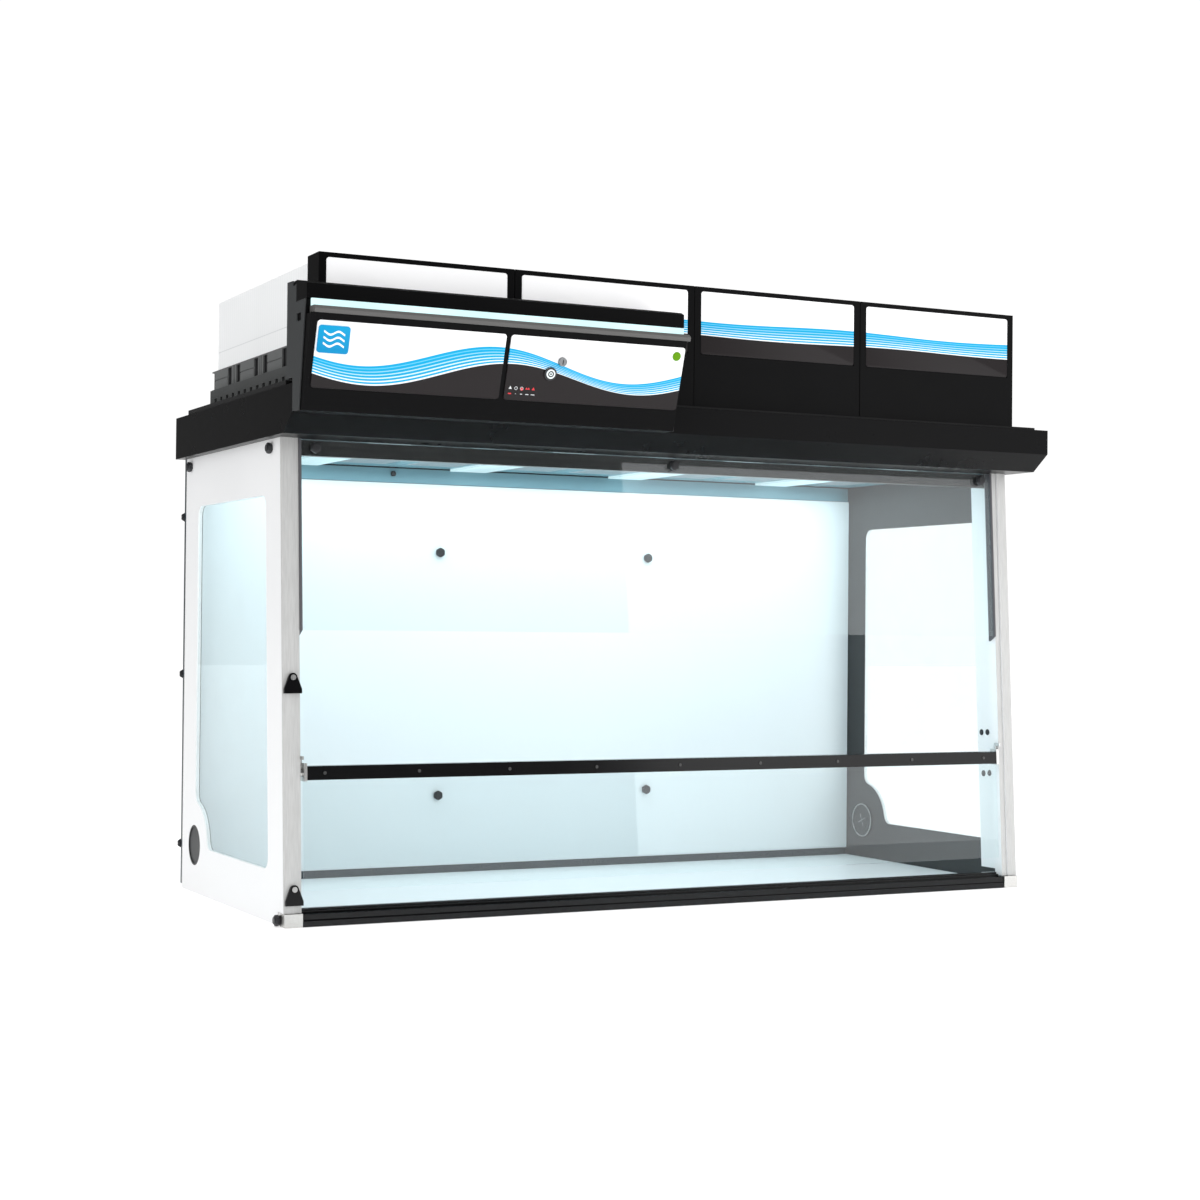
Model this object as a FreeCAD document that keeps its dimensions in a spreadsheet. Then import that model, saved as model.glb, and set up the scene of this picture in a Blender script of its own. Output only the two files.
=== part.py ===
"""Ductless filtering fume hood with four filter columns, a glazed work chamber,
an upper sash, a hinged lower flap and an illuminated control box.

Frame: +X to the right, +Y to the rear, +Z up.  The origin is on the bench under
the middle of the hood's overall box.  All lengths are in millimetres.
"""
import FreeCAD, Part
import math
import os

import Sketcher
from FreeCAD import Placement, Rotation, Vector

doc = FreeCAD.newDocument("FumeHood")
sheet = doc.addObject("Spreadsheet::Sheet", "Sizes")

SIZES = {
    # Enclosure.
    "half_width": 900,        # outside face of a side panel
    "wall": 10,               # side panel thickness
    "front": -285,            # foot of the leaning front plane
    "deep": 740,              # foot of the front plane to the rear of the enclosure
    "lift": 977,              # bench to the underside of the tray
    "lean": 55,               # how far the front plane leans back over that height
    "bench_top": 10,          # working surface
    "side_rear": 727,         # rear edge of a side panel
    "post_inner": 862,        # inner edge of a front post
    "post_flange": 876,       # inner edge of its front flange
    "post_foot": 27.5,        # a front post stands on its end cap
    "flange_depth": 4,        # behind the leaning front plane: the flange,
    "strip_depth": 30,        # the strip behind it
    "plate_depth": 112,       # and the plate along the side panel
    "plate_inner": 884,
    "cap_rear": 36,
    "rear_post_inner": 866,
    "rear_thick": 6,
    "back_face": 706,         # front foot to the face of the rear panel
    "back_base": 28,
    "back_head": 942,
    # Windows and ports of the side panels, from the front foot.
    "window_front": 99,
    "window_rear": 628,
    "window_low": 105,
    "window_high": 865,
    "window_corner": 24,
    "window_inset": 2,        # outer face of the pane inside the panel's face
    "window_thick": 6,
    "port_y": 632,
    "port_z": 106,
    "port_radius": 45,
    "port_rim": 98,
    # Upper pane and lower flap.
    "pane_half": 856,
    "pane_front": 4,          # behind the front plane
    "pane_rear": 10,
    "sash_low": 590,
    "flap_front": 6,
    "flap_rear": 11,
    "flap_low": 70,
    "flap_top": 308,
    "rail_low": 290,
    "rail_high": 318,
    "rail_half": 850,
    "rail_screws": 813,       # middle to the last screw
    "pivot_z": 304,
    "pivot_off": 12,          # pivot axis behind the front plane
    "pin_radius": 3.5,
    "pin_play": 0.1,
    "flange_thick": 1.2,
    # Tray.
    "tray_half": 922,
    "tray_nose": 78,          # fascia in front of the front foot
    "tray_chin": 27,          # lower front edge in front of the front foot
    "tray_rear": 743,
    "fascia_low": 1015,
    "tray_top": 1071,
    "deck_top": 1081,
    "deck_rear": 650,
    "comb_low": 1097,
    "comb_top": 1126,
    "sheet_metal": 3,
    "well_half": 190,         # opening under a filter column
    "well_front": 75,
    "well_rear": 640,
    "intake_near": 60,        # ceiling opening, from the column's middle
    "intake_front": 110,
    "light_half": 46,
    "inlet_x": -800,
    "inlet_z": 1024,
    # Filter columns.
    "pitch": 427.5,
    "cover_front": -32,       # from the front foot
    "cover_rear": 35,
    "cover_top": 1341,
    "plate_half": 197,        # printed plate on a cover
    "plate_low": 1195,
    "plate_high": 1331,
    "plate_thick": 1.8,
    "filter_half": 212,
    "filter_front": 38,
    "filter_wall": 10,
    "recess_low": 1134.5,
    "recess_high": 1173,
    "filter_top": 1176,
    "filter_rear": 692,
    "housing_top": 1328,
    "housing_rear": 650,
    "housing_half": 211,
    "housing_wall": 4,
    "outlet_radius": 150,
    "fan_y": 344,
    "fan_z": 1222,
    "fan_radius": 135,
    "shaft_radius": 5,
    # Control box.
    "box_left": -922,
    "box_right": -96,
    "box_rear": -35,
    "box_low": 1014,
    "box_high": 1270,
    "panel_left": -905,
    "panel_width": 396,
    "panel_gap": 11,
    "panel_top": 1183,
    "panel_bottom": 1057,
    "panel_top_y": -177,
    "panel_bottom_y": -137,
    "panel_thick": 3,
    "panel_corner": 6,
    "cheek_thick": 3,
    "light_low": 1212,
    "light_high": 1226.7,
    # Small parts.
    "button_x": -403,
    "button_z": 1113,
    "button_radius": 9.5,
    "lock_x": -380,
    "lock_z": 1138,
    "lock_radius": 8.7,
    "knob_radius": 11.5,
    "knob_height": 12,
    "gap": 0.3,
}
COLUMNS = 4
OVERSHOOT = 1                 # how far a cutting tool reaches past what it cuts
COLLAR = 3                    # height of a knob's collar, and its step in radius
SIDES = (("left", -1), ("right", 1))

for row, (alias, number) in enumerate(SIZES.items(), start=1):
    sheet.set("A%d" % row, alias)
    sheet.set("B%d" % row, str(number))
    sheet.setAlias("B%d" % row, alias)
doc.recompute()


class Size:
    """A length that carries both its value and its spreadsheet expression."""

    def __init__(self, value, text=None):
        self.value = float(value)
        self.text = text or "(%r)" % self.value

    def __add__(self, other):
        other = size(other)
        return Size(self.value + other.value, "(%s + %s)" % (self.text, other.text))

    def __sub__(self, other):
        other = size(other)
        return Size(self.value - other.value, "(%s - %s)" % (self.text, other.text))

    def __mul__(self, factor):
        factor = size(factor)
        return Size(self.value * factor.value, "(%s * %s)" % (self.text, factor.text))

    def __truediv__(self, other):
        other = size(other)
        return Size(self.value / other.value, "(%s / %s)" % (self.text, other.text))

    def __rsub__(self, other):
        return size(other) - self

    def __neg__(self):
        return Size(-self.value, "(0 - %s)" % self.text)

    __radd__ = __add__
    __rmul__ = __mul__


def size(value):
    return value if isinstance(value, Size) else Size(value)


class Sizes:
    """The spreadsheet's cells by alias, each as a Size."""

    def __getattr__(self, alias):
        return Size(SIZES[alias], "Sizes." + alias)


d = Sizes()
nodes = {}
slope = d.lean / d.lift
lean_angle = math.degrees(math.atan2(SIZES["lean"], SIZES["lift"]))
panel_angle = math.degrees(math.atan2(SIZES["panel_bottom_y"] - SIZES["panel_top_y"],
                                      SIZES["panel_top"] - SIZES["panel_bottom"]))
TURNS = {
    "x": Rotation(Vector(0, 1, 0), 90),
    "y": Rotation(Vector(1, 0, 0), -90),
    "z": Rotation(),
    "-x": Rotation(Vector(0, 1, 0), -90),
    "-y": Rotation(Vector(1, 0, 0), 90),
    "outward": Rotation(Vector(1, 0, 0), 90 - lean_angle),
    "into_panel": Rotation(Vector(1, 0, 0), panel_angle - 90),
}


def y(depth):
    """A depth measured from the front foot, as a coordinate."""
    return d.front + depth


def y_lean(offset, height):
    """The coordinate of a point at an offset behind the leaning front plane."""
    return d.front + slope * height + offset


# --------------------------------------------------------------------------
# Building blocks
# --------------------------------------------------------------------------

def bind(item, name, length):
    item.setExpression(name, size(length).text)


def place(item, where, rotation=Rotation()):
    """Turns an object and binds its base point."""
    item.Placement = Placement(Vector(*[size(value).value for value in where]), rotation)
    for axis, value in zip("xyz", where):
        bind(item, "Placement.Base." + axis, value)
    return item


def node(name, item):
    """Gives a finished sub-part the name of its file."""
    item.Label = name
    nodes[name] = item
    return item


def ordered(pair):
    return sorted((size(value) for value in pair), key=lambda value: value.value)


def box(name, x, y_range, z):
    """A box between pairs of planes."""
    item = doc.addObject("Part::Box", name)
    pairs = [ordered(pair) for pair in (x, y_range, z)]
    for (low, high), length in zip(pairs, ("Length", "Width", "Height")):
        bind(item, length, high - low)
    return place(item, [low for low, high in pairs])


def cylinder(name, base, direction, length, radius):
    """A cylinder from a base point along one of the named directions."""
    item = doc.addObject("Part::Cylinder", name)
    bind(item, "Radius", radius)
    bind(item, "Height", length)
    return place(item, base, TURNS[direction])


def fuse(name, items):
    item = doc.addObject("Part::MultiFuse", name)
    item.Shapes = items
    return item


def cut(name, base, tools):
    """The base with every tool taken out of it."""
    item = doc.addObject("Part::Cut", name)
    item.Base = base
    item.Tool = tools[0] if len(tools) == 1 else fuse(name + "_tools", tools)
    return item


def group(name, items):
    """Separate identical solids in one node."""
    item = doc.addObject("Part::Compound", name)
    item.Links = items
    return item


def fillet_along(name, base, radius, axis):
    """Rounds every edge of the base that runs along an axis."""
    doc.recompute()
    item = doc.addObject("Part::Fillet", name)
    item.Base = base
    picked = []
    for number, edge in enumerate(base.Shape.Edges, start=1):
        if isinstance(edge.Curve, Part.Line) and abs(edge.Curve.Direction.dot(axis)) > 0.999:
            picked.append((number, radius, radius))
    item.Edges = picked
    return item


def plane_of(body, role):
    return next(item for item in body.Origin.OriginFeatures if item.Role == role)


def pin(sketch, kind, geometry, length, vertex=1):
    """Holds one coordinate of a point of a sketch."""
    length = size(length)
    number = sketch.addConstraint(
        Sketcher.Constraint(kind, -1, 1, geometry, vertex, length.value))
    sketch.setExpression("Constraints[%d]" % number, length.text)


def add_polygon(sketch, points):
    first = sketch.GeometryCount
    count = len(points)
    corners = [Vector(size(u).value, size(v).value) for u, v in points]
    for index in range(count):
        sketch.addGeometry(Part.LineSegment(corners[index], corners[(index + 1) % count]))
    for index, (across, up) in enumerate(points):
        following = first + (index + 1) % count
        sketch.addConstraint(
            Sketcher.Constraint("Coincident", first + index, 2, following, 1))
        pin(sketch, "DistanceX", first + index, across)
        pin(sketch, "DistanceY", first + index, up)


def add_circle(sketch, across, up, radius):
    across, up, radius = size(across), size(up), size(radius)
    centre = Vector(across.value, up.value)
    circle = sketch.addGeometry(Part.Circle(centre, Vector(0, 0, 1), radius.value))
    pin(sketch, "DistanceX", circle, across, 3)
    pin(sketch, "DistanceY", circle, up, 3)
    number = sketch.addConstraint(Sketcher.Constraint("Radius", circle, radius.value))
    sketch.setExpression("Constraints[%d]" % number, radius.text)


def new_sketch(body, role, offset=0):
    sketch = body.newObject("Sketcher::SketchObject", body.Name + "_sketch")
    sketch.AttachmentSupport = [(plane_of(body, role), "")]
    sketch.MapMode = "FlatFace"
    bind(sketch, "AttachmentOffset.Base.z", offset)
    return sketch


def pad(body, sketch, length):
    feature = body.newObject("PartDesign::Pad", body.Name + "_pad")
    feature.Profile = sketch
    bind(feature, "Length", length)
    return feature


def prism(name, points, x):
    """A side outline in Y and Z, padded between two X planes."""
    low, high = ordered(x)
    body = doc.addObject("PartDesign::Body", name)
    sketch = new_sketch(body, "YZ_Plane", low)
    add_polygon(sketch, points)
    pad(body, sketch, high - low)
    return body


def leaning(name, x, offsets, z):
    """A slab parallel to the leaning front plane, cut level at both ends."""
    near, far = offsets
    low, high = z
    points = [(y_lean(near, low), low), (y_lean(far, low), low),
              (y_lean(far, high), high), (y_lean(near, high), high)]
    return prism(name, points, x)


def knob(name, foot, direction):
    """A round black thumb knob with a narrower collar under its head."""
    collar = cylinder(name + "_collar", foot, direction, d.knob_height,
                      d.knob_radius - COLLAR)
    step = {"x": (COLLAR, 0, 0), "-x": (-COLLAR, 0, 0), "y": (0, COLLAR, 0),
            "-y": (0, -COLLAR, 0), "outward": (0, -COLLAR, COLLAR * slope)}[direction]
    head_foot = [size(value) + move for value, move in zip(foot, step)]
    head = cylinder(name + "_head", head_foot, direction, d.knob_height - COLLAR, d.knob_radius)
    return fuse(name, [collar, head])


# --------------------------------------------------------------------------
# Base and walls
# --------------------------------------------------------------------------

def build_base():
    inner = d.half_width - d.wall - d.gap
    sill_rear = 38
    node("worktop", box("worktop", (-inner, inner), (y(sill_rear + 1), y(d.deep) - 2),
                        (0, d.bench_top)))

    # Three steps up towards the rear, and a softened lower front edge.
    steps = [(-1, 25), (20, 30), (27, 34)]
    outline = [(y(-3), 0), (y(sill_rear), 0)]
    rear = sill_rear
    for front, top in reversed(steps):
        outline += [(y(rear), top), (y(front), top)]
        rear = front
    outline += [(y(-1), 14), (y(-3), 12)]
    node("front_sill", prism("front_sill", outline,
                             (-d.post_inner + d.gap, d.post_inner - d.gap)))

    caps = [box("end_cap_%s" % side, (sign * d.post_inner, sign * d.half_width),
                (y(-4), y(d.cap_rear)), (0, d.post_foot - 0.5)) for side, sign in SIDES]
    node("sill_end_caps", group("sill_end_caps", caps))


def window_blank(name, x, inset):
    """The outline of a side window: four sides and a bite round the port."""
    front = y(d.window_front) + inset
    rear = y(d.window_rear) - inset
    low = d.window_low + inset
    high = d.window_high - inset
    plate = prism(name + "_plate", [
        (front + slope * low, low), (rear, low), (rear, high), (front + slope * high, high)], x)
    left, right = ordered(x)
    bite = cylinder(name + "_bite", (left - OVERSHOOT, y(d.port_y), d.port_z), "x",
                    right - left + 2 * OVERSHOOT, d.port_rim + inset)
    outline = cut(name + "_outline", plate, [bite])
    return fillet_along(name, outline, SIZES["window_corner"], Vector(1, 0, 0))


def build_sides():
    frames = []
    windows = []
    covers = []
    toe = d.cap_rear + d.gap
    front = d.flange_depth + d.gap
    cover_proud = 3
    dish_deep = 2
    dish_rim = 4
    for side, sign in SIDES:
        inward = "x" if sign < 0 else "-x"
        outer = sign * d.half_width
        inner = sign * (d.half_width - d.wall)
        plate = prism("side_plate_" + side, [
            (y_lean(toe, 0), 0), (y(d.side_rear), 0), (y(d.side_rear), d.lift),
            (y_lean(front, d.lift), d.lift), (y_lean(front, d.post_foot), d.post_foot),
            (y_lean(toe, d.post_foot), d.post_foot)], (inner, outer))
        opening = window_blank("window_opening_" + side,
                               (sign * (d.half_width - d.wall - OVERSHOOT),
                                sign * (d.half_width + OVERSHOOT)), 0)
        port = cylinder("port_hole_" + side, (outer, y(d.port_y), d.port_z),
                        inward, d.wall, d.port_radius)
        frames.append(cut("side_frame_" + side, plate, [opening, port]))
        windows.append(window_blank(
            "window_" + side, (sign * (d.half_width - d.window_inset - d.window_thick),
                               sign * (d.half_width - d.window_inset)), d.gap))
        disc = cylinder("port_disc_" + side, (outer, y(d.port_y), d.port_z),
                        inward, d.wall + cover_proud, d.port_radius - d.gap)
        dish = cylinder("port_dish_" + side, (outer, y(d.port_y), d.port_z),
                        inward, dish_deep, d.port_radius - dish_rim)
        covers.append(cut("port_cover_" + side, disc, [dish]))
    node("side_frames", group("side_frames", frames))
    node("side_windows", group("side_windows", windows))
    node("port_covers", group("port_covers", covers))


def build_posts():
    posts = []
    bore_deep = 12
    sill_clear = 38
    for side, sign in SIDES:
        top = d.lift
        flange = leaning("post_flange_" + side, (sign * d.post_flange, sign * d.half_width),
                         (0, d.flange_depth), (d.post_foot, top))
        strip = leaning("post_strip_" + side,
                        (sign * d.post_inner, sign * (d.half_width - d.wall - d.gap)),
                        (d.flange_depth, d.strip_depth), (d.post_foot, top))
        inner = leaning("post_plate_" + side,
                        (sign * d.plate_inner, sign * (d.half_width - d.wall - d.gap)),
                        (d.strip_depth, d.plate_depth), (sill_clear, top))
        bore = cylinder("post_bore_" + side,
                        (sign * (d.post_inner - OVERSHOOT),
                         y_lean(d.pivot_off, d.pivot_z), d.pivot_z),
                        "-x" if sign < 0 else "x", bore_deep, d.pin_radius + d.pin_play)
        posts.append(cut("post_" + side, fuse("post_body_" + side, [flange, strip, inner]), [bore]))
    node("front_posts", group("front_posts", posts))


def build_rear():
    inner = d.half_width - d.wall - d.gap
    panel_inner = inner - 1
    node("rear_panel", box("rear_panel", (-panel_inner, panel_inner),
                           (y(d.back_face), y(d.back_face) + d.rear_thick),
                           (d.back_base, d.back_head)))
    pieces = []
    for side, sign in SIDES:
        pieces.append(fuse("rear_post_" + side, [
            box("rear_post_web_" + side, (sign * d.rear_post_inner, sign * inner),
                (y(d.back_face) + d.rear_thick, y(d.deep)), (d.bench_top, d.lift)),
            box("rear_post_flange_" + side, (sign * d.rear_post_inner, sign * d.half_width),
                (y(d.side_rear) + d.gap, y(d.deep)), (d.bench_top, d.lift))]))
    channel_half = d.rear_post_inner - 1
    channel_depth = (y(d.back_face) - 2, y(d.deep) - 10)
    for name, z in (("low", (d.bench_top, d.back_base)), ("high", (d.back_head, d.lift))):
        pieces.append(box("rear_channel_" + name, (-channel_half, channel_half),
                          channel_depth, z))
    node("rear_frame", group("rear_frame", pieces))


# --------------------------------------------------------------------------
# Front glazing
# --------------------------------------------------------------------------

def build_front():
    top = d.lift - 1
    node("upper_pane", leaning("upper_pane", (-d.pane_half, d.pane_half),
                               (d.pane_front, d.pane_rear), (d.sash_low, top)))
    seals = []
    near, far = 1, 22
    foot = d.sash_low - 12
    for side, sign in SIDES:
        edge = (sign * (d.pane_half + d.gap), sign * (d.post_inner - d.gap))
        points = [(y_lean(near, d.sash_low), d.sash_low), (y_lean(far, foot), foot),
                  (y_lean(far, top), top), (y_lean(near, top), top)]
        seals.append(prism("pane_seal_" + side, points, edge))
    node("pane_seals", group("pane_seals", seals))
    beam_half = d.plate_inner - d.gap
    node("front_beam", leaning("front_beam", (-beam_half, beam_half),
                               (d.strip_depth + 1, d.strip_depth + 22), (d.back_head + 2, top)))

    node("flap_pane", leaning("flap_pane", (-d.pane_half, d.pane_half),
                              (d.flap_front, d.flap_rear), (d.flap_low, d.flap_top)))
    play = 0.2
    bar = leaning("rail_bar", (-d.rail_half, d.rail_half), (-2, 20), (d.rail_low, d.rail_high))
    slot = leaning("rail_slot", (-d.rail_half - OVERSHOOT, d.rail_half + OVERSHOOT),
                   (d.flap_front - play, d.flap_rear + play), (d.rail_low - 2, d.flap_top + play))
    node("flap_rail", cut("flap_rail", bar, [slot]))

    screws = []
    count = 9
    spacing = 2 * d.rail_screws / (count - 1)
    for number in range(count):
        foot = (spacing * number - d.rail_screws, y_lean(-2, d.pivot_z), d.pivot_z)
        screws.append(cylinder("rail_screw_%d" % number, foot, "outward", 1.5, 3.5))
    node("flap_screws", group("flap_screws", screws))

    plates = []
    near, far = -3, 21
    low, high = d.rail_low - 2, d.rail_high + 6
    joint = 312
    for side, sign in SIDES:
        span = (sign * (d.rail_half + play), sign * d.pane_half)
        plate = leaning("end_plate_" + side, span, (near, far), (joint - 3, high))
        cheek = leaning("end_cheek_" + side, span, (d.flap_rear + 1.5, far), (low, joint))
        nose = leaning("end_nose_" + side, span, (near, d.flap_front - 0.5), (low, joint))
        flange = leaning("end_flange_" + side,
                         (sign * d.pane_half, sign * (d.pane_half + d.flange_thick)),
                         (near, far), (low, high))
        axle = cylinder("end_pin_" + side,
                        (sign * d.pane_half, y_lean(d.pivot_off, d.pivot_z), d.pivot_z),
                        "-x" if sign < 0 else "x", 14, d.pin_radius)
        plates.append(fuse("end_fitting_" + side, [plate, cheek, nose, flange, axle]))
    node("flap_end_fittings", group("flap_end_fittings", plates))


def build_latches():
    flange_clear = d.flange_thick + d.gap
    rod_top = 338
    tab_low = 331
    for side, sign in SIDES:
        near = sign * (d.pane_half + flange_clear)
        far = sign * (d.post_inner - d.gap)
        reach = "-x" if sign < 0 else "x"
        pivot = (near, y_lean(d.pivot_off, d.pivot_z), d.pivot_z)
        width = d.post_inner - d.gap - d.pane_half - flange_clear
        hub = cylinder("lever_hub_" + side, pivot, reach, width, 8)
        rod = leaning("lever_rod_" + side, (near, far), (9, 15), (d.pivot_z + 4, rod_top))
        tab = leaning("lever_tab_" + side, (near, far), (-4, 12), (tab_low, rod_top))
        hole = cylinder("lever_hole_" + side, pivot, reach, width, d.pin_radius + d.pin_play)
        node("latch_lever_" + side,
             cut("latch_lever_" + side, fuse("lever_" + side, [hub, rod, tab]), [hole]))


def build_catches():
    screws = []
    catch_x = -879.5
    thick = 6
    hole_radius = 3.2
    head_gap = thick + 0.7
    for name, pivot_z in (("catch_upper", 495), ("catch_lower", 75)):
        body = doc.addObject("PartDesign::Body", name)
        sketch = new_sketch(body, "XZ_Plane")
        add_polygon(sketch, [(-18.5, -32), (18.5, -32), (18.5, -23), (8.2, 3.7), (-8.2, 3.7),
                             (-18.5, -23)])
        pad(body, sketch, thick)
        crown = new_sketch(body, "XZ_Plane")
        add_circle(crown, 0, 0, 9)
        pad(body, crown, thick)
        doc.recompute()
        hole = new_sketch(body, "XZ_Plane")
        add_circle(hole, 0, 0, hole_radius)
        pocket = body.newObject("PartDesign::Pocket", name + "_hole")
        pocket.Profile = hole
        pocket.Type = "ThroughAll"
        pocket.Midplane = True
        place(body, (catch_x, y_lean(-0.4, pivot_z), pivot_z),
              Rotation(Vector(1, 0, 0), -lean_angle))
        node(name, body)
        shank = cylinder(name + "_shank", (catch_x, y_lean(0, pivot_z), pivot_z), "outward", 8,
                         hole_radius - d.pin_play)
        head = cylinder(name + "_head", (catch_x, y_lean(-head_gap, pivot_z),
                                         pivot_z + head_gap * slope), "outward", 2, 5.5)
        screws.append(fuse(name + "_screw", [shank, head]))
    node("catch_screws", group("catch_screws", screws))


# --------------------------------------------------------------------------
# Tray, ceiling and lights
# --------------------------------------------------------------------------

def column_x(number):
    """The middle of a filter column, the first one at the left."""
    return d.pitch * (number - (COLUMNS - 1) / 2)


def wells(name, z):
    """One rectangular air opening under every filter column."""
    return [box("%s_%d" % (name, number + 1),
                (column_x(number) - d.well_half, column_x(number) + d.well_half),
                (y(d.well_front), y(d.well_rear)), z) for number in range(COLUMNS)]


def inlet_block(name, half_width, half_height, depth):
    """A block centred on the mains inlet."""
    return box(name, (d.inlet_x - half_width, d.inlet_x + half_width), depth,
               (d.inlet_z - half_height, d.inlet_z + half_height))


def build_tray():
    metal = d.sheet_metal
    outer = prism("tray_outer", [
        (y(-d.tray_chin), d.lift), (y(d.tray_rear), d.lift), (y(d.tray_rear), d.tray_top),
        (y(-d.tray_nose), d.tray_top), (y(-d.tray_nose), d.fascia_low)],
        (-d.tray_half, d.tray_half))
    hollow = prism("tray_hollow", [
        (y(-d.tray_chin) + 2, d.lift + metal), (y(d.tray_rear) - metal, d.lift + metal),
        (y(d.tray_rear) - metal, d.tray_top - metal), (y(-d.tray_nose) + metal, d.tray_top - metal),
        (y(-d.tray_nose) + metal, d.fascia_low + 2)],
        (-d.tray_half + metal, d.tray_half - metal))
    mouth = box("tray_mouth", (-d.half_width + d.wall, d.half_width - d.wall),
                (y(90), y(d.back_face) - 2), (d.lift - 1, d.lift + metal + 1))
    ports = wells("tray_port", (d.tray_top - metal - OVERSHOOT, d.tray_top + OVERSHOOT))
    rear = y(d.tray_rear)
    inlet = inlet_block("tray_inlet_hole", 24, 14, (rear - metal - OVERSHOOT, rear + OVERSHOOT))
    node("plenum_tray", cut("plenum_tray", outer, [hollow, mouth, inlet] + ports))

    body = inlet_block("inlet_body", 24 - d.gap, 14 - d.gap, (rear - 25, rear))
    flange = inlet_block("inlet_flange", 32, 22, (rear, rear + 3))
    recess = inlet_block("inlet_recess", 16, 9, (rear - 16, rear + 4))
    node("power_inlet", cut("power_inlet", fuse("inlet_shell", [body, flange]), [recess]))

    deck = box("deck_plate", (-d.tray_half + 2, d.tray_half - 2), (y(d.cover_front), y(d.deck_rear)),
               (d.tray_top, d.deck_top))
    openings = wells("deck_well", (d.tray_top - OVERSHOOT, d.deck_top + OVERSHOOT))
    rails = []
    notches = []
    comb_near, comb_far = 862, 874
    gap_wide, gap_high = 17, 9
    for side, sign in SIDES:
        edge = (sign * comb_near, sign * comb_far)
        rails.append(box("comb_" + side, edge, (y(60), y(636)), (d.deck_top, d.comb_top)))
        for number in range(13):
            start = 70 + 43 * number
            notches.append(box("comb_gap_%s_%d" % (side, number),
                               (sign * (comb_near - OVERSHOOT), sign * (comb_far + OVERSHOOT)),
                               (y(start), y(start + gap_wide)), (d.comb_low, d.comb_low + gap_high)))
    node("filter_deck", cut("filter_deck", fuse("deck_body", [deck] + rails), openings + notches))


def build_ceiling():
    low = d.lift + d.sheet_metal
    plate = box("ceiling_plate", (-d.half_width - 8, d.half_width + 8), (y(70), y(d.deep) - 6),
                (low, low + 3))
    intakes = []
    pads = []
    lights = []
    for number in range(COLUMNS):
        middle = column_x(number)
        for side, sign in SIDES:
            tag = "%d_%s" % (number + 1, side)
            near = middle + sign * d.intake_near
            far = middle + sign * d.well_half
            front, rear = y(d.intake_front), y(d.well_rear)
            intakes.append(box("intake_" + tag, (near, far), (front, rear),
                               (low - OVERSHOOT, low + d.sheet_metal + OVERSHOOT)))
            pads.append(box("prefilter_" + tag, (near + sign * d.gap, far - sign * d.gap),
                            (front + d.gap, rear - d.gap), (low + 0.5, low + 14)))
        lights.append(box("light_%d" % (number + 1),
                          (middle - d.light_half, middle + d.light_half),
                          (y(d.intake_front) + 2, y(700)), (low - 5, low)))
    node("ceiling_panel", cut("ceiling_panel", plate, intakes))
    node("prefilters", group("prefilters", pads))
    node("light_bars", group("light_bars", lights))


# --------------------------------------------------------------------------
# Filter columns
# --------------------------------------------------------------------------

def build_cover(number, middle):
    tag = "%d" % (number + 1)
    half = d.pitch / 2 - 0.6
    block = box("cover_block_" + tag, (middle - half, middle + half),
                (y(d.cover_front), y(d.cover_rear)), (d.deck_top, d.cover_top))
    hollow = box("cover_hollow_" + tag, (middle - half + 5, middle + half - 5),
                 (y(d.cover_front) + 8, y(d.cover_rear) + 1), (d.deck_top + 5, d.cover_top - 5))
    seat_half = d.plate_half + d.gap
    front = y(d.cover_front)
    seat = box("cover_seat_" + tag, (middle - seat_half, middle + seat_half),
               (front - OVERSHOOT, front + d.plate_thick),
               (d.plate_low - d.gap, d.plate_high + d.gap))
    node("front_cover_" + tag, cut("front_cover_" + tag, block, [hollow, seat]))
    return box("cover_plate_" + tag, (middle - d.plate_half, middle + d.plate_half),
               (front, front + d.plate_thick), (d.plate_low, d.plate_high))


def build_filter(number, middle):
    """A filter frame, open underneath, with recesses and grooves in its sides."""
    tag = "%d" % (number + 1)
    half = d.filter_half
    front = d.filter_front
    wall = d.filter_wall
    lid = 6
    near_edge, far_edge = 17, 46
    bed_high = 60
    block = box("filter_block_" + tag, (middle - half, middle + half),
                (y(front), y(d.filter_rear)), (d.deck_top, d.filter_top))
    tools = [box("filter_hollow_" + tag, (middle - half + wall, middle + half - wall),
                 (y(front) + wall, y(d.filter_rear) - wall),
                 (d.deck_top - OVERSHOOT, d.filter_top - lid))]
    outlet = box("filter_outlet_" + tag, (middle - 180, middle + 180), (y(90), y(600)),
                 (d.filter_top - lid - OVERSHOOT, d.filter_top + OVERSHOOT))
    tools.append(outlet)
    joints = (147, 337, 527, 717)
    for side, sign in SIDES:
        outside = middle + sign * (half + OVERSHOOT)
        recess = (middle + sign * (half - 5), outside)
        slit = (middle + sign * (half - 8), outside)
        groove = (middle + sign * (half - 2), outside)
        tall = (d.recess_low, d.recess_high)
        for number, joint in enumerate(joints):
            place_name = "%s_%s_%d" % (tag, side, number)
            near = joint - far_edge
            tools.append(box("recess_near_" + place_name, recess,
                             (y(near), y(joint - near_edge)), tall))
            if joint < SIZES["filter_rear"]:
                tools.append(box("recess_far_" + place_name, recess,
                                 (y(joint + near_edge), y(joint + far_edge)), tall))
                for way in (-7, 3):
                    tools.append(box("slit_%s_%d" % (place_name, way + 7), slit,
                                     (y(joint + way), y(joint + way + 4)), (1130, 1174)))
            start = joints[number - 1] + far_edge if number else front + wall + 2
            tools.append(box("groove_" + place_name, groove, (y(start), y(near)),
                             (1152.5, 1155)))
    node("filter_" + tag, cut("filter_" + tag, block, tools))
    return box("carbon_bed_" + tag, (middle - half + wall + 1, middle + half - wall - 1),
               (y(front) + wall + 1, y(d.filter_rear) - wall - 1),
               (d.filter_top - lid - bed_high, d.filter_top - lid))


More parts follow.
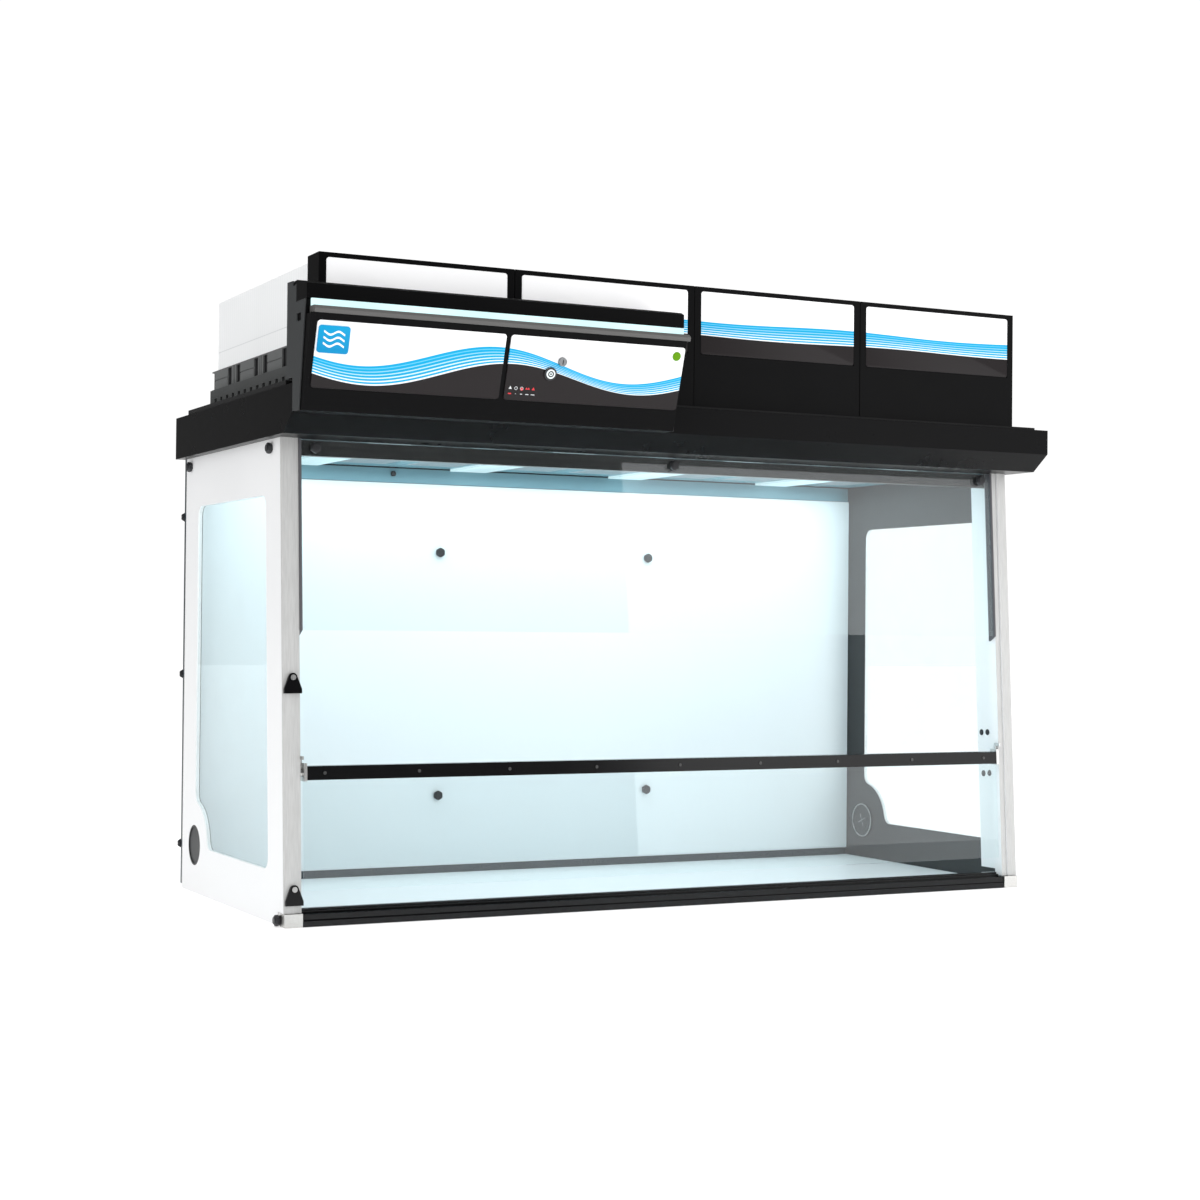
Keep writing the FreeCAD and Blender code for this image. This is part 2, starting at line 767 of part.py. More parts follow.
def build_housing(number, middle):
    tag = "%d" % (number + 1)
    half = d.housing_half
    skin = d.housing_wall
    shell = box("housing_shell_" + tag, (middle - half, middle + half),
                (y(d.filter_front), y(d.housing_rear)), (d.filter_top, d.housing_top))
    hollow = box("housing_hollow_" + tag, (middle - half + skin, middle + half - skin),
                 (y(d.filter_front) + skin, y(d.housing_rear) - skin),
                 (d.filter_top - OVERSHOOT, d.housing_top - skin))
    outlet = cylinder("housing_outlet_" + tag,
                      (middle, y(d.fan_y), d.housing_top - skin - OVERSHOOT), "z",
                      skin + 2 * OVERSHOOT, d.outlet_radius)
    node("fan_housing_" + tag, cut("fan_housing_" + tag, shell, [hollow, outlet]))


def build_guard(number, middle):
    """A round wire-like grille over a fan outlet."""
    tag = "%d" % (number + 1)
    foot = (middle, y(d.fan_y), d.housing_top)
    thick = 3
    pieces = []
    for ring, (radius, width) in enumerate(((158, 10), (122, 4), (86, 4), (50, 4))):
        rim = cylinder("guard_rim_%s_%d" % (tag, ring), foot, "z", thick, radius)
        bore = cylinder("guard_bore_%s_%d" % (tag, ring),
                        (middle, y(d.fan_y), d.housing_top - OVERSHOOT), "z",
                        thick + 2 * OVERSHOOT, radius - width)
        pieces.append(cut("guard_ring_%s_%d" % (tag, ring), rim, [bore]))
    reach = d.outlet_radius
    for way, (wide, long) in enumerate(((reach, thick), (thick, reach))):
        pieces.append(box("guard_bar_%s_%d" % (tag, way), (middle - wide, middle + wide),
                          (y(d.fan_y) - long, y(d.fan_y) + long),
                          (d.housing_top, d.housing_top + thick)))
    return fuse("exhaust_guard_" + tag, pieces)


def build_motor(number, middle):
    """A motor on a cross bar, with its shaft upwards."""
    tag = "%d" % (number + 1)
    bar_half, bar_wide = 203, 25
    bar_top = d.filter_top + 7
    can_high, can_radius = 34, 42
    bar = box("motor_bar_" + tag, (middle - bar_half, middle + bar_half),
              (y(d.fan_y) - bar_wide, y(d.fan_y) + bar_wide), (d.filter_top + 1, bar_top))
    can = cylinder("motor_can_" + tag, (middle, y(d.fan_y), bar_top), "z", can_high, can_radius)
    shaft = cylinder("motor_shaft_" + tag,
                     (middle, y(d.fan_y), bar_top + can_high - OVERSHOOT), "z", 45,
                     d.shaft_radius)
    return fuse("fan_motor_" + tag, [bar, can, shaft])


def build_impeller(number, middle):
    """A backward-curved impeller: base plate, hub, blades and shroud ring."""
    tag = "%d" % (number + 1)
    blades = 9
    sweep = 38
    thick = 3
    shroud_at = 48
    low = d.fan_z
    foot = (middle, y(d.fan_y), low)
    pieces = [cylinder("impeller_plate_" + tag, foot, "z", thick, d.fan_radius),
              cylinder("impeller_hub_" + tag, foot, "z", 42, 30)]
    for blade in range(blades):
        turn = 360 * blade / blades
        item = doc.addObject("Part::Box", "impeller_blade_%s_%d" % (tag, blade))
        item.Length = 78
        item.Width = thick
        item.Height = shroud_at
        reach = Rotation(Vector(0, 0, 1), turn).multVec(Vector(62, 0, 0))
        place(item, (middle + reach.x, y(d.fan_y) + reach.y, low + 2),
              Rotation(Vector(0, 0, 1), turn + sweep))
        pieces.append(item)
    shroud = cylinder("impeller_shroud_" + tag, (middle, y(d.fan_y), low + shroud_at), "z",
                      thick, d.fan_radius)
    eye = cylinder("impeller_eye_" + tag, (middle, y(d.fan_y), low + shroud_at - OVERSHOOT), "z",
                   thick + 2 * OVERSHOOT, 92)
    pieces.append(cut("impeller_ring_" + tag, shroud, [eye]))
    bore = cylinder("impeller_bore_" + tag, (middle, y(d.fan_y), low - OVERSHOOT), "z", 60,
                    d.shaft_radius + d.pin_play)
    node("impeller_" + tag, cut("impeller_" + tag, fuse("impeller_body_" + tag, pieces), [bore]))


def build_columns():
    plates = []
    beds = []
    guards = []
    motors = []
    for number in range(COLUMNS):
        middle = column_x(number)
        plates.append(build_cover(number, middle))
        beds.append(build_filter(number, middle))
        build_housing(number, middle)
        guards.append(build_guard(number, middle))
        motors.append(build_motor(number, middle))
        build_impeller(number, middle)
    node("cover_plates", group("cover_plates", plates))
    node("carbon_beds", group("carbon_beds", beds))
    node("exhaust_guards", group("exhaust_guards", guards))
    node("fan_motors", group("fan_motors", motors))


# --------------------------------------------------------------------------
# Control box
# --------------------------------------------------------------------------

def panel_y(height, proud=0):
    """The sloping face of the control panels."""
    rise = (height - d.panel_bottom) / (d.panel_top - d.panel_bottom)
    return y(d.panel_bottom_y) + (d.panel_top_y - d.panel_bottom_y) * rise - proud


def panel_point(across, height, proud):
    """A point that stands out of the control panels, square to their face."""
    turn = math.radians(panel_angle)
    return (across, panel_y(height) - proud * math.cos(turn), height - proud * math.sin(turn))


def panel_slab(name, x, proud, z):
    """A slab parallel to the control panels."""
    near, far = proud
    low, high = z
    return prism(name, [(panel_y(low, near), low), (panel_y(low, far), low),
                        (panel_y(high, far), high), (panel_y(high, near), high)], x)


def build_control_box():
    cheek = d.cheek_thick
    button_well, lock_well = 12, 9
    left, right = d.box_left + cheek, d.box_right - cheek
    back = -d.panel_thick
    shell = prism("control_shell", [
        (y(d.box_rear), d.tray_top + 10.5), (y(d.box_rear), d.box_high),
        (y(-96.7), d.box_high - 1), (y(-96.7), d.light_high), (y(-150.7), d.light_high),
        (y(-150.7), 1196.7),
        (panel_y(1196.7, back), 1196.7), (panel_y(1045, back), 1045), (y(-121), d.box_low),
        (y(-80.3), d.box_low), (y(-80.3), d.tray_top + 10.5)], (left, right))
    cavity = prism("control_cavity", [
        (y(-38), d.tray_top + 14), (y(-38), d.box_high - 4), (y(-93), d.box_high - 4),
        (y(-93), 1223), (y(-146), 1223), (y(-146), 1193), (panel_y(1190, back - 4), 1190),
        (panel_y(1050, back - 4), 1050), (y(-114), 1018), (y(-84), 1018), (y(-84), d.tray_top + 14)],
        (left + 3, right - 3))
    button_hole = cylinder("button_well", panel_point(d.button_x, d.button_z, 2), "into_panel", 24,
                           button_well)
    lock_hole = cylinder("lock_well", panel_point(d.lock_x, d.lock_z, 2), "into_panel", 24,
                         lock_well)
    node("control_housing", cut("control_housing", shell, [cavity, button_hole, lock_hole]))

    outline = [(y(-42), 1271), (y(-74), 1270), (y(-76), 1260), (y(-86), 1259), (y(-96.4), 1262),
               (y(-96.4), 1226.4), (y(-150), 1226.4), (y(-117), d.box_low), (y(-79), 1016),
               (y(-78.6), d.tray_top + 10.3), (y(-42), d.tray_top + 10.3)]
    cheeks = []
    for side, x in (("left", (d.box_left, left - 0.2)), ("right", (right + 0.2, d.box_right))):
        plate = prism("cheek_plate_" + side, outline, x)
        low, high = ordered(x)
        slot = box("cheek_slot_" + side, (low - 1, high + 1), (y(-126), y(-101)), (1187, 1203))
        cheeks.append(cut("cheek_" + side, plate, [slot]))
    node("control_cheeks", group("control_cheeks", cheeks))

    node("light_bar_hood", prism("light_bar_hood", [
        (y(-97), 1227), (y(-97), 1269), (y(-148), 1260), (y(-159), 1255), (y(-159), 1227)],
        (d.box_left, d.box_right)))
    node("status_light_bar", box("status_light_bar", (d.box_left + 11, d.box_right),
                                 (y(-158), y(-151)), (d.light_low, d.light_high)))
    node("light_bar_lip", prism("light_bar_lip", [
        (y(-151), 1197), (y(-151), d.light_low - d.gap), (y(-174), d.light_low - d.gap),
        (y(-182), 1205), (y(-180), 1197)],
        (d.box_left + 9, d.box_right + 4)))
    node("circuit_board", box("circuit_board", (-860, -560), (y(-100), y(-98.4)), (1100, 1210)))


def build_panels():
    height = (d.panel_bottom, d.panel_top)
    middle = d.panel_left + d.panel_width
    left = panel_slab("panel_left_plate", (d.panel_left, middle), (-d.panel_thick, 0), height)
    rounded = fillet_panel("control_panel_left", left)
    node("control_panel_left", rounded)

    start = middle + d.panel_gap
    plate = panel_slab("panel_right_plate", (start, start + d.panel_width),
                       (-d.panel_thick, 0), height)
    rounded = fillet_panel("panel_right_rounded", plate)
    holes = [cylinder("panel_button_hole", panel_point(d.button_x, d.button_z, 8), "into_panel", 22,
                      12),
             cylinder("panel_lock_hole", panel_point(d.lock_x, d.lock_z, 8), "into_panel", 22, 9)]
    node("control_panel_right", cut("control_panel_right", rounded, holes))

    ring = cylinder("bezel_ring", panel_point(d.button_x, d.button_z, 1), "into_panel", 15, 11.7)
    flange = cylinder("bezel_flange", panel_point(d.button_x, d.button_z, 3), "into_panel", 2.8, 13.5)
    bore = cylinder("bezel_bore", panel_point(d.button_x, d.button_z, 5), "into_panel", 24,
                    d.button_radius + 0.1)
    node("button_bezel", cut("button_bezel", fuse("bezel_body", [ring, flange]), [bore]))
    node("power_button", cylinder("power_button", panel_point(d.button_x, d.button_z, 5),
                                  "into_panel", 14, d.button_radius))

    barrel = cylinder("lock_body", panel_point(d.lock_x, d.lock_z, 6), "into_panel", 16, d.lock_radius)
    keyway = doc.addObject("Part::Box", "lock_keyway")
    keyway.Length = 2
    keyway.Width = 10
    keyway.Height = 5
    corner = TURNS["into_panel"].multVec(Vector(-1, -5, 0))
    start = panel_point(d.lock_x, d.lock_z, 7)
    place(keyway, [size(value) + move for value, move in zip(start, corner)], TURNS["into_panel"])
    node("lock_barrel", cut("lock_cylinder", barrel, [keyway]))
    node("badge", panel_slab("badge", (-903, -837), (0, 4), (1121, 1176)))


def fillet_panel(name, plate):
    """Rounds the four corners of a control panel."""
    doc.recompute()
    item = doc.addObject("Part::Fillet", name)
    item.Base = plate
    picked = []
    for number, edge in enumerate(plate.Shape.Edges, start=1):
        if edge.Length < 10:
            picked.append((number, SIZES["panel_corner"], SIZES["panel_corner"]))
    item.Edges = picked
    return item


# --------------------------------------------------------------------------
# Thumb knobs
# --------------------------------------------------------------------------

def build_knobs():
    knobs = []
    for side, sign in SIDES:
        outward = "-x" if sign < 0 else "x"
        for place_name, depth, height in (("front", 113, 958), ("rear", 688, 957), ("foot", 30, 12)):
            knobs.append(knob("knob_%s_%s" % (side, place_name),
                              (sign * d.half_width, y(depth), height), outward))
        for number, height in enumerate((846, 487, 100)):
            knobs.append(knob("knob_back_%s_%d" % (side, number),
                              (sign * 895, y(d.deep), height), "y"))
        for number, height in enumerate((779, 196)):
            knobs.append(knob("knob_panel_%s_%d" % (side, number),
                              (sign * 283, y(d.back_face), height), "-y"))
    for number, across in enumerate((-827, 0, 827)):
        knobs.append(knob("knob_sash_%d" % number, (across, y_lean(4, 958), 958), "outward"))
    node("panel_knobs", group("panel_knobs", knobs))


# --------------------------------------------------------------------------
# Checks and files
# --------------------------------------------------------------------------

def check_document():
    doc.recompute()
    for item in doc.Objects:
        if "Invalid" in item.State or "Error" in item.State:
            raise RuntimeError("%s failed: %s" % (item.Label, item.State))
    for name, item in nodes.items():
        if item.Shape.isNull() or not item.Shape.isValid():
            raise RuntimeError("%s has no valid shape" % name)


def write_files():
    os.makedirs("parts", exist_ok=True)
    overall = FreeCAD.BoundBox()
    for name, item in nodes.items():
        item.Shape.exportStep(os.path.join("parts", name + ".step"))
        overall.add(item.Shape.BoundBox)
        print("%-22s solids %2d  volume %12.0f" % (name, len(item.Shape.Solids), item.Shape.Volume))
    print(len(nodes), "nodes", overall)


build_base()
build_sides()
build_posts()
build_rear()
build_front()
build_latches()
build_catches()
build_tray()
build_ceiling()
build_columns()
build_control_box()
build_panels()
build_knobs()
check_document()
write_files()
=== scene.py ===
"""Looks of the ductless fume hood: materials, fine pieces, floor, light and camera.

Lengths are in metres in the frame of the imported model.
"""

import bmesh
import bpy
import math
from mathutils import Matrix, Vector


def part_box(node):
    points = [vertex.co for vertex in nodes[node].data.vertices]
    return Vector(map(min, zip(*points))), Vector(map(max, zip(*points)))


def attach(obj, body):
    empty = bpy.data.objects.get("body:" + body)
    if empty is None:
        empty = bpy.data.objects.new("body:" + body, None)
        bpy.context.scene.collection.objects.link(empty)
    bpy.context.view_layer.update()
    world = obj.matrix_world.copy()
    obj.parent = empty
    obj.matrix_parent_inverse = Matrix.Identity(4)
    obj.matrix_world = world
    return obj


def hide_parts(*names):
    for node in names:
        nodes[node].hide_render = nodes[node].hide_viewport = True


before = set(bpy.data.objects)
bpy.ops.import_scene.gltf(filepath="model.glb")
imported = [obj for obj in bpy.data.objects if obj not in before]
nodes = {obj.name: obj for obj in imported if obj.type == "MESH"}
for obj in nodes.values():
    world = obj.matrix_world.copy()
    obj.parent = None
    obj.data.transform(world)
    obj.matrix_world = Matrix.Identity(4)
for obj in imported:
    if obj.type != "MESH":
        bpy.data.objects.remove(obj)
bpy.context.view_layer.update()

MM = 0.001
FULL_TURN = 2 * math.pi

PANEL_REACH = 0.040           # the control panel's top stands this far in front of its foot
PANEL_RISE = 0.126            # and this far above it
PANEL_FOOT = (-0.422, 1.057)  # its foot, as Y and Z
PANEL_UP = Vector((0, -PANEL_REACH, PANEL_RISE)).normalized()
PANEL_OUT = Vector((0, -PANEL_RISE, -PANEL_REACH)).normalized()
PANEL_TURN = Matrix((Vector((1, 0, 0)), PANEL_UP, PANEL_OUT)).transposed().to_4x4()
LEAN_AXIS = Vector((0, -0.977, 0.055)).normalized()      # out of the leaning front
POST_PLATE = 0.884            # inner face of the posts' plates, from the middle plane
SIDE_SKIN = 0.8915            # just outside the side walls' inner faces
HOUSING_SEAM = 1.215          # height of the seam round a fan housing
PORT_FACE = min(abs(vertex.co.x) for vertex in nodes["port_covers"].data.vertices)
PLATE_HALF_WIDTH = 0.197      # of the printed plates on the front covers
COLUMNS = range(1, 5)


# --------------------------------------------------------------------------
# Node trees
# --------------------------------------------------------------------------

class Look:
    """A material and short calls that add nodes to its tree."""

    def __init__(self, name):
        self.material = bpy.data.materials.new(name)
        self.material.use_nodes = True
        self.tree = self.material.node_tree
        self.tree.nodes.clear()
        self.output = self.add("ShaderNodeOutputMaterial")
        self.place = self.add("ShaderNodeTexCoord").outputs["Object"]

    def add(self, kind, **settings):
        node = self.tree.nodes.new(kind)
        for key, value in settings.items():
            setattr(node, key, value)
        return node

    def put(self, socket, value):
        """Links a socket to another one, or sets its value."""
        if isinstance(value, bpy.types.NodeSocket):
            self.tree.links.new(value, socket)
        elif isinstance(value, tuple) and len(value) == 3 and socket.type == "RGBA":
            socket.default_value = (*value, 1)
        else:
            socket.default_value = value

    def math(self, operation, *values, clamp=False):
        node = self.add("ShaderNodeMath", operation=operation, use_clamp=clamp)
        for socket, value in zip(node.inputs, values):
            self.put(socket, value)
        return node.outputs[0]

    def flip(self, share):
        """Turns 0..1 round to 1..0."""
        return self.math("SUBTRACT", 1.0, share)

    def gap(self, value, middle):
        """How far a value is from a middle."""
        return self.math("ABSOLUTE", self.math("SUBTRACT", value, middle))

    def step(self, value, edge, soft):
        """0 below the edge and 1 above it, with a ramp as wide as soft."""
        node = self.add("ShaderNodeMapRange")
        self.put(node.inputs["Value"], value)
        self.put(node.inputs["From Min"], self.math("SUBTRACT", edge, soft / 2))
        self.put(node.inputs["From Max"], self.math("ADD", edge, soft / 2))
        return node.outputs["Result"]

    def spread(self, value, low, high):
        """Maps 0..1 to low..high."""
        node = self.add("ShaderNodeMapRange")
        self.put(node.inputs["Value"], value)
        self.put(node.inputs["To Min"], low)
        self.put(node.inputs["To Max"], high)
        return node.outputs["Result"]

    def mix(self, share, first, second):
        """Blends two colours; 6 and 7 are the node's colour inputs and 2 its colour output."""
        node = self.add("ShaderNodeMix", data_type="RGBA")
        self.put(node.inputs[0], share)
        self.put(node.inputs[6], first)
        self.put(node.inputs[7], second)
        return node.outputs[2]

    def axes(self):
        node = self.add("ShaderNodeSeparateXYZ")
        self.put(node.inputs[0], self.place)
        return node.outputs

    def facing(self, axis):
        """The part of the surface normal along the X, Y or Z axis."""
        node = self.add("ShaderNodeSeparateXYZ")
        self.put(node.inputs[0], self.add("ShaderNodeNewGeometry").outputs["Normal"])
        return node.outputs[axis]

    def stretch(self, scale):
        node = self.add("ShaderNodeMapping")
        self.put(node.inputs["Vector"], self.place)
        self.put(node.inputs["Scale"], scale)
        return node.outputs["Vector"]

    def noise(self, scale, detail=3.0, rough=0.55, stretch=None):
        node = self.add("ShaderNodeTexNoise")
        self.put(node.inputs["Vector"], self.stretch(stretch) if stretch else self.place)
        self.put(node.inputs["Scale"], scale)
        self.put(node.inputs["Detail"], detail)
        self.put(node.inputs["Roughness"], rough)
        return node.outputs["Fac"]

    def cells(self, scale, feature="F1"):
        node = self.add("ShaderNodeTexVoronoi", feature=feature)
        self.put(node.inputs["Vector"], self.place)
        self.put(node.inputs["Scale"], scale)
        return node.outputs["Distance"]

    def bump(self, height, strength, depth):
        node = self.add("ShaderNodeBump")
        self.put(node.inputs["Height"], height)
        self.put(node.inputs["Strength"], strength)
        self.put(node.inputs["Distance"], depth)
        return node.outputs["Normal"]

    def surface(self, **inputs):
        """Ends the tree in one Principled shader. Names take _ for a space."""
        shader = self.add("ShaderNodeBsdfPrincipled")
        for key, value in inputs.items():
            self.put(shader.inputs[key.replace("_", " ")], value)
        self.put(self.output.inputs["Surface"], shader.outputs[0])
        return self.material


def srgb(red, green, blue):
    """A colour given as the 0..255 numbers of a screen, made linear."""
    def linear(part):
        part /= 255
        return part / 12.92 if part <= 0.04045 else ((part + 0.055) / 1.055) ** 2.4
    return (linear(red), linear(green), linear(blue))


def shade(colour, factor):
    return tuple(min(1.0, part * factor) for part in colour)


def centre(box):
    low, high = box
    return (low + high) / 2


# --------------------------------------------------------------------------
# Materials
# --------------------------------------------------------------------------

def plastic(name, colour, rough, grain=900.0, relief=0.08, variation=0.06, specular=0.5):
    """Moulded or painted skin: a fine texture, slow tone changes and handled patches."""
    look = Look(name)
    slow = look.noise(3.0, 4.0)
    fine = look.noise(grain, 2.0)
    base = look.mix(slow, shade(colour, 1 - variation), shade(colour, 1 + variation))
    smear = look.noise(11.0, 5.0, 0.6)
    roughness = look.spread(smear, rough * 0.85, min(1.0, rough * 1.2))
    return look.surface(Base_Color=base, Roughness=roughness, Specular_IOR_Level=specular,
                        Normal=look.bump(fine, relief, 0.0004))


def metal(name, colour, rough, along=(1, 1, 1), scale=260.0, relief=0.12):
    """Brushed or cast metal; along squeezes the grain into lines."""
    look = Look(name)
    grain = look.noise(scale, 3.0, 0.6, stretch=along)
    cloud = look.noise(6.0, 3.0)
    base = look.mix(grain, shade(colour, 0.86), shade(colour, 1.1))
    roughness = look.spread(look.math("MULTIPLY", look.math("ADD", grain, cloud), 0.5),
                            rough * 0.7, rough * 1.3)
    return look.surface(Base_Color=base, Metallic=1.0, Roughness=roughness,
                        Normal=look.bump(grain, relief, 0.0003))


HEAD_ON = 0.038               # share that a pane mirrors straight on


def glass(name, haze, grazing):
    """A clear acrylic sheet: sees through, mirrors at its surface and holds a little dust.

    grazing sets how much the mirror image grows when the sheet is seen edge-on.
    """
    look = Look(name)
    dust = look.noise(7.0, 6.0, 0.65)
    specks = look.step(look.noise(420.0, 2.0), 0.71, 0.02)
    clear = look.add("ShaderNodeBsdfTransparent")
    look.put(clear.inputs["Color"], (0.965, 0.985, 0.985))
    mirror = look.add("ShaderNodeBsdfGlossy")
    look.put(mirror.inputs["Color"], (0.97, 0.985, 1.0))
    look.put(mirror.inputs["Roughness"], look.spread(dust, 0.005, 0.03))
    film = look.add("ShaderNodeBsdfDiffuse")
    look.put(film.inputs["Color"], (0.86, 0.9, 0.92))
    facing = look.add("ShaderNodeLayerWeight").outputs["Facing"]
    edge_on = look.math("MULTIPLY", look.math("POWER", facing, 5.0), grazing)
    pane = look.add("ShaderNodeMixShader")
    look.put(pane.inputs[0], look.math("ADD", edge_on, HEAD_ON))
    look.put(pane.inputs[1], clear.outputs[0])
    look.put(pane.inputs[2], mirror.outputs[0])
    veil = look.math("ADD", look.math("MULTIPLY", dust, haze),
                     look.math("MULTIPLY", specks, haze))
    whole = look.add("ShaderNodeMixShader")
    look.put(whole.inputs[0], veil)
    look.put(whole.inputs[1], pane.outputs[0])
    look.put(whole.inputs[2], film.outputs[0])
    look.put(look.output.inputs["Surface"], whole.outputs[0])
    return look.material


def glow(name, colour, strength, tubes):
    """A lit diffuser; tubes sets how close together the faint bands of its lamps lie."""
    look = Look(name)
    band = look.math("SINE", look.math("MULTIPLY", look.axes()["X"], tubes))
    frost = look.noise(700.0, 2.0)
    light = look.spread(look.math("ADD", look.math("MULTIPLY", band, 0.5), 0.5),
                        strength * 0.9, strength * 1.05)
    return look.surface(Base_Color=look.mix(frost, shade(colour, 0.04), shade(colour, 0.06)),
                        Roughness=0.4, Specular_IOR_Level=0.1,
                        Emission_Color=look.mix(frost, shade(colour, 0.96), colour),
                        Emission_Strength=light)


WAVE_LINES = 6.0              # blue lines between the edges of a printed wave
PRINT_WHITE = srgb(252, 252, 253)
PRINT_BLUE = srgb(0, 166, 218)
PRINT_PALE = srgb(34, 188, 238)
PRINT_DARK = srgb(35, 31, 32)


def wave_bands(look, up, low_edge, high_edge):
    """Dark field, blue wave lines and white field, stacked up the label."""
    share = look.math("DIVIDE", look.math("SUBTRACT", up, low_edge),
                      look.math("SUBTRACT", high_edge, low_edge))
    ripple = look.math("FRACT", look.math("MULTIPLY", share, WAVE_LINES))
    line_start = look.math("SUBTRACT", 0.48, look.math("MULTIPLY", share, 0.26))
    stripe = look.step(ripple, line_start, 0.05)
    blue = look.mix(stripe, look.mix(share, PRINT_WHITE, PRINT_PALE), PRINT_BLUE)
    soft = 0.0008
    upper = look.step(up, high_edge, soft)
    lower = look.step(up, low_edge, soft)
    return look.mix(upper, look.mix(lower, PRINT_DARK, blue), PRINT_WHITE)


def print_finish(look, colour):
    """A satin film over a printed label, with faint orange peel."""
    peel = look.noise(240.0, 2.0)
    return look.surface(Base_Color=colour, Roughness=look.spread(peel, 0.34, 0.42),
                        Specular_IOR_Level=0.18, Normal=look.bump(peel, 0.012, 0.0002))


def wave_sum(look, across, middle, lead, slope, swing, phase, length):
    """middle + slope*(across+lead) + swing*cos(full turn*(across+phase)/length)."""
    tilt = look.math("MULTIPLY", look.math("ADD", across, lead), slope)
    turn = look.math("MULTIPLY", look.math("ADD", across, phase), FULL_TURN / length)
    curve = look.math("MULTIPLY", look.math("COSINE", turn), swing)
    return look.math("ADD", look.math("ADD", tilt, curve), middle)


def control_print():
    """One wave swings through both control panels."""
    look = Look("control_print")
    x, _, z = look.axes()
    low_edge = wave_sum(look, x, middle=1.1005, lead=0.5, slope=0.025, swing=0.02615,
                        phase=0.4918, length=0.585)
    high_edge = wave_sum(look, x, middle=1.1302, lead=0.5, slope=0.0, swing=0.0273,
                         phase=0.5217, length=0.581)
    return print_finish(look, wave_bands(look, z, low_edge, high_edge))


def cover_print():
    """A flatter wave runs along all four cover plates."""
    look = Look("cover_print")
    x, _, z = look.axes()
    low_edge = wave_sum(look, x, middle=1.2365, lead=-0.3, slope=0.004, swing=0.0022,
                        phase=0.1, length=0.6)
    high_edge = wave_sum(look, x, middle=1.2690, lead=-0.3, slope=0.003, swing=0.0030,
                         phase=0.22, length=0.6)
    return print_finish(look, wave_bands(look, z, low_edge, high_edge))


def button_print():
    """A white cap with a grey ring and a dark middle."""
    look = Look("button_print")
    middle = centre(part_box("power_button"))
    climb = look.add("ShaderNodeVectorMath", operation="DOT_PRODUCT")
    look.put(climb.inputs[0], look.place)
    look.put(climb.inputs[1], tuple(PANEL_UP))
    up = look.math("SUBTRACT", climb.outputs["Value"], middle.dot(PANEL_UP))
    across = look.math("SUBTRACT", look.axes()["X"], middle.x)
    distance = look.math("SQRT", look.math("ADD", look.math("MULTIPLY", up, up),
                                           look.math("MULTIPLY", across, across)))
    ring_radius = 0.0052
    grey_ring = look.flip(look.step(look.gap(distance, ring_radius), 0.0013, 0.0004))
    dot = look.flip(look.step(distance, 0.0020, 0.0003))
    mark = look.math("MAXIMUM", grey_ring, dot)
    return print_finish(look, look.mix(mark, (0.86, 0.94, 0.95), srgb(40, 42, 42)))


def badge_print():
    """Blue tile with three white waves, a mark of no one's."""
    look = Look("badge_print")
    middle = centre(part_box("badge"))
    x, _, z = look.axes()
    across = look.math("SUBTRACT", x, middle.x)
    up = look.math("SUBTRACT", z, middle.z)
    inside = look.flip(look.step(look.math("ABSOLUTE", across), 0.0215, 0.0006))
    curve = look.math("MULTIPLY", look.math("SINE", look.math("MULTIPLY", across, 190.0)), 0.0032)
    height = look.math("SUBTRACT", up, curve)
    apart = 0.011
    waves = 0.0
    for level in (-apart, 0.0, apart):
        line = look.flip(look.step(look.gap(height, level), 0.0019, 0.0005))
        waves = look.math("MAXIMUM", waves, line)
    mark = look.math("MULTIPLY", waves, inside)
    tone = look.mix(look.step(up, 0.0, 0.055), srgb(0, 138, 192), srgb(8, 158, 210))
    return print_finish(look, look.mix(mark, tone, PRINT_WHITE))


def side_frame_look():
    """White outside; printed dark grey where a face looks into the chamber."""
    look = Look("side_frame")
    aside = look.math("ABSOLUTE", look.axes()["X"])
    inner = look.flip(look.step(aside, SIDE_SKIN, 0.0004))
    cloud = look.noise(2.2, 4.0)
    white = look.mix(cloud, (0.83, 0.835, 0.845), (0.89, 0.895, 0.90))
    dark = look.mix(cloud, srgb(44, 46, 47), srgb(51, 53, 54))
    peel = look.noise(520.0, 2.0)
    return look.surface(Base_Color=look.mix(inner, white, dark),
                        Roughness=look.spread(cloud, 0.32, 0.45),
                        Specular_IOR_Level=0.35, Normal=look.bump(peel, 0.05, 0.0003))


def post_look():
    """Painted extrusion: long faint draw lines run up it; its inner plate is white."""
    look = Look("post_paint")
    aside = look.math("ABSOLUTE", look.axes()["X"])
    inward = look.step(look.math("ABSOLUTE", look.facing("X")), 0.8, 0.1)
    inner = look.flip(look.step(aside, POST_PLATE + 0.6 * MM, 0.0004))
    plate = look.math("MULTIPLY", inward, inner)
    lines = look.noise(1.0, 2.0, stretch=(420, 420, 0.6))
    cloud = look.noise(4.0, 3.0)
    paint = look.mix(lines, srgb(178, 178, 177), srgb(208, 208, 207))
    base = look.mix(plate, paint, (0.93, 0.95, 0.96))
    return look.surface(Base_Color=base, Metallic=0.15, Roughness=look.spread(cloud, 0.34, 0.48),
                        Normal=look.bump(lines, 0.15, 0.0004))


def rear_panel_look():
    """Satin white sheet with a fine upright grain."""
    look = Look("rear_panel_white")
    grain = look.noise(1.0, 3.0, stretch=(700, 700, 40))
    cloud = look.noise(1.6, 4.0)
    base = look.mix(cloud, (0.78, 0.855, 0.885), (0.83, 0.895, 0.92))
    return look.surface(Base_Color=base, Roughness=look.spread(grain, 0.38, 0.5),
                        Specular_IOR_Level=0.4, Normal=look.bump(grain, 0.04, 0.0003))


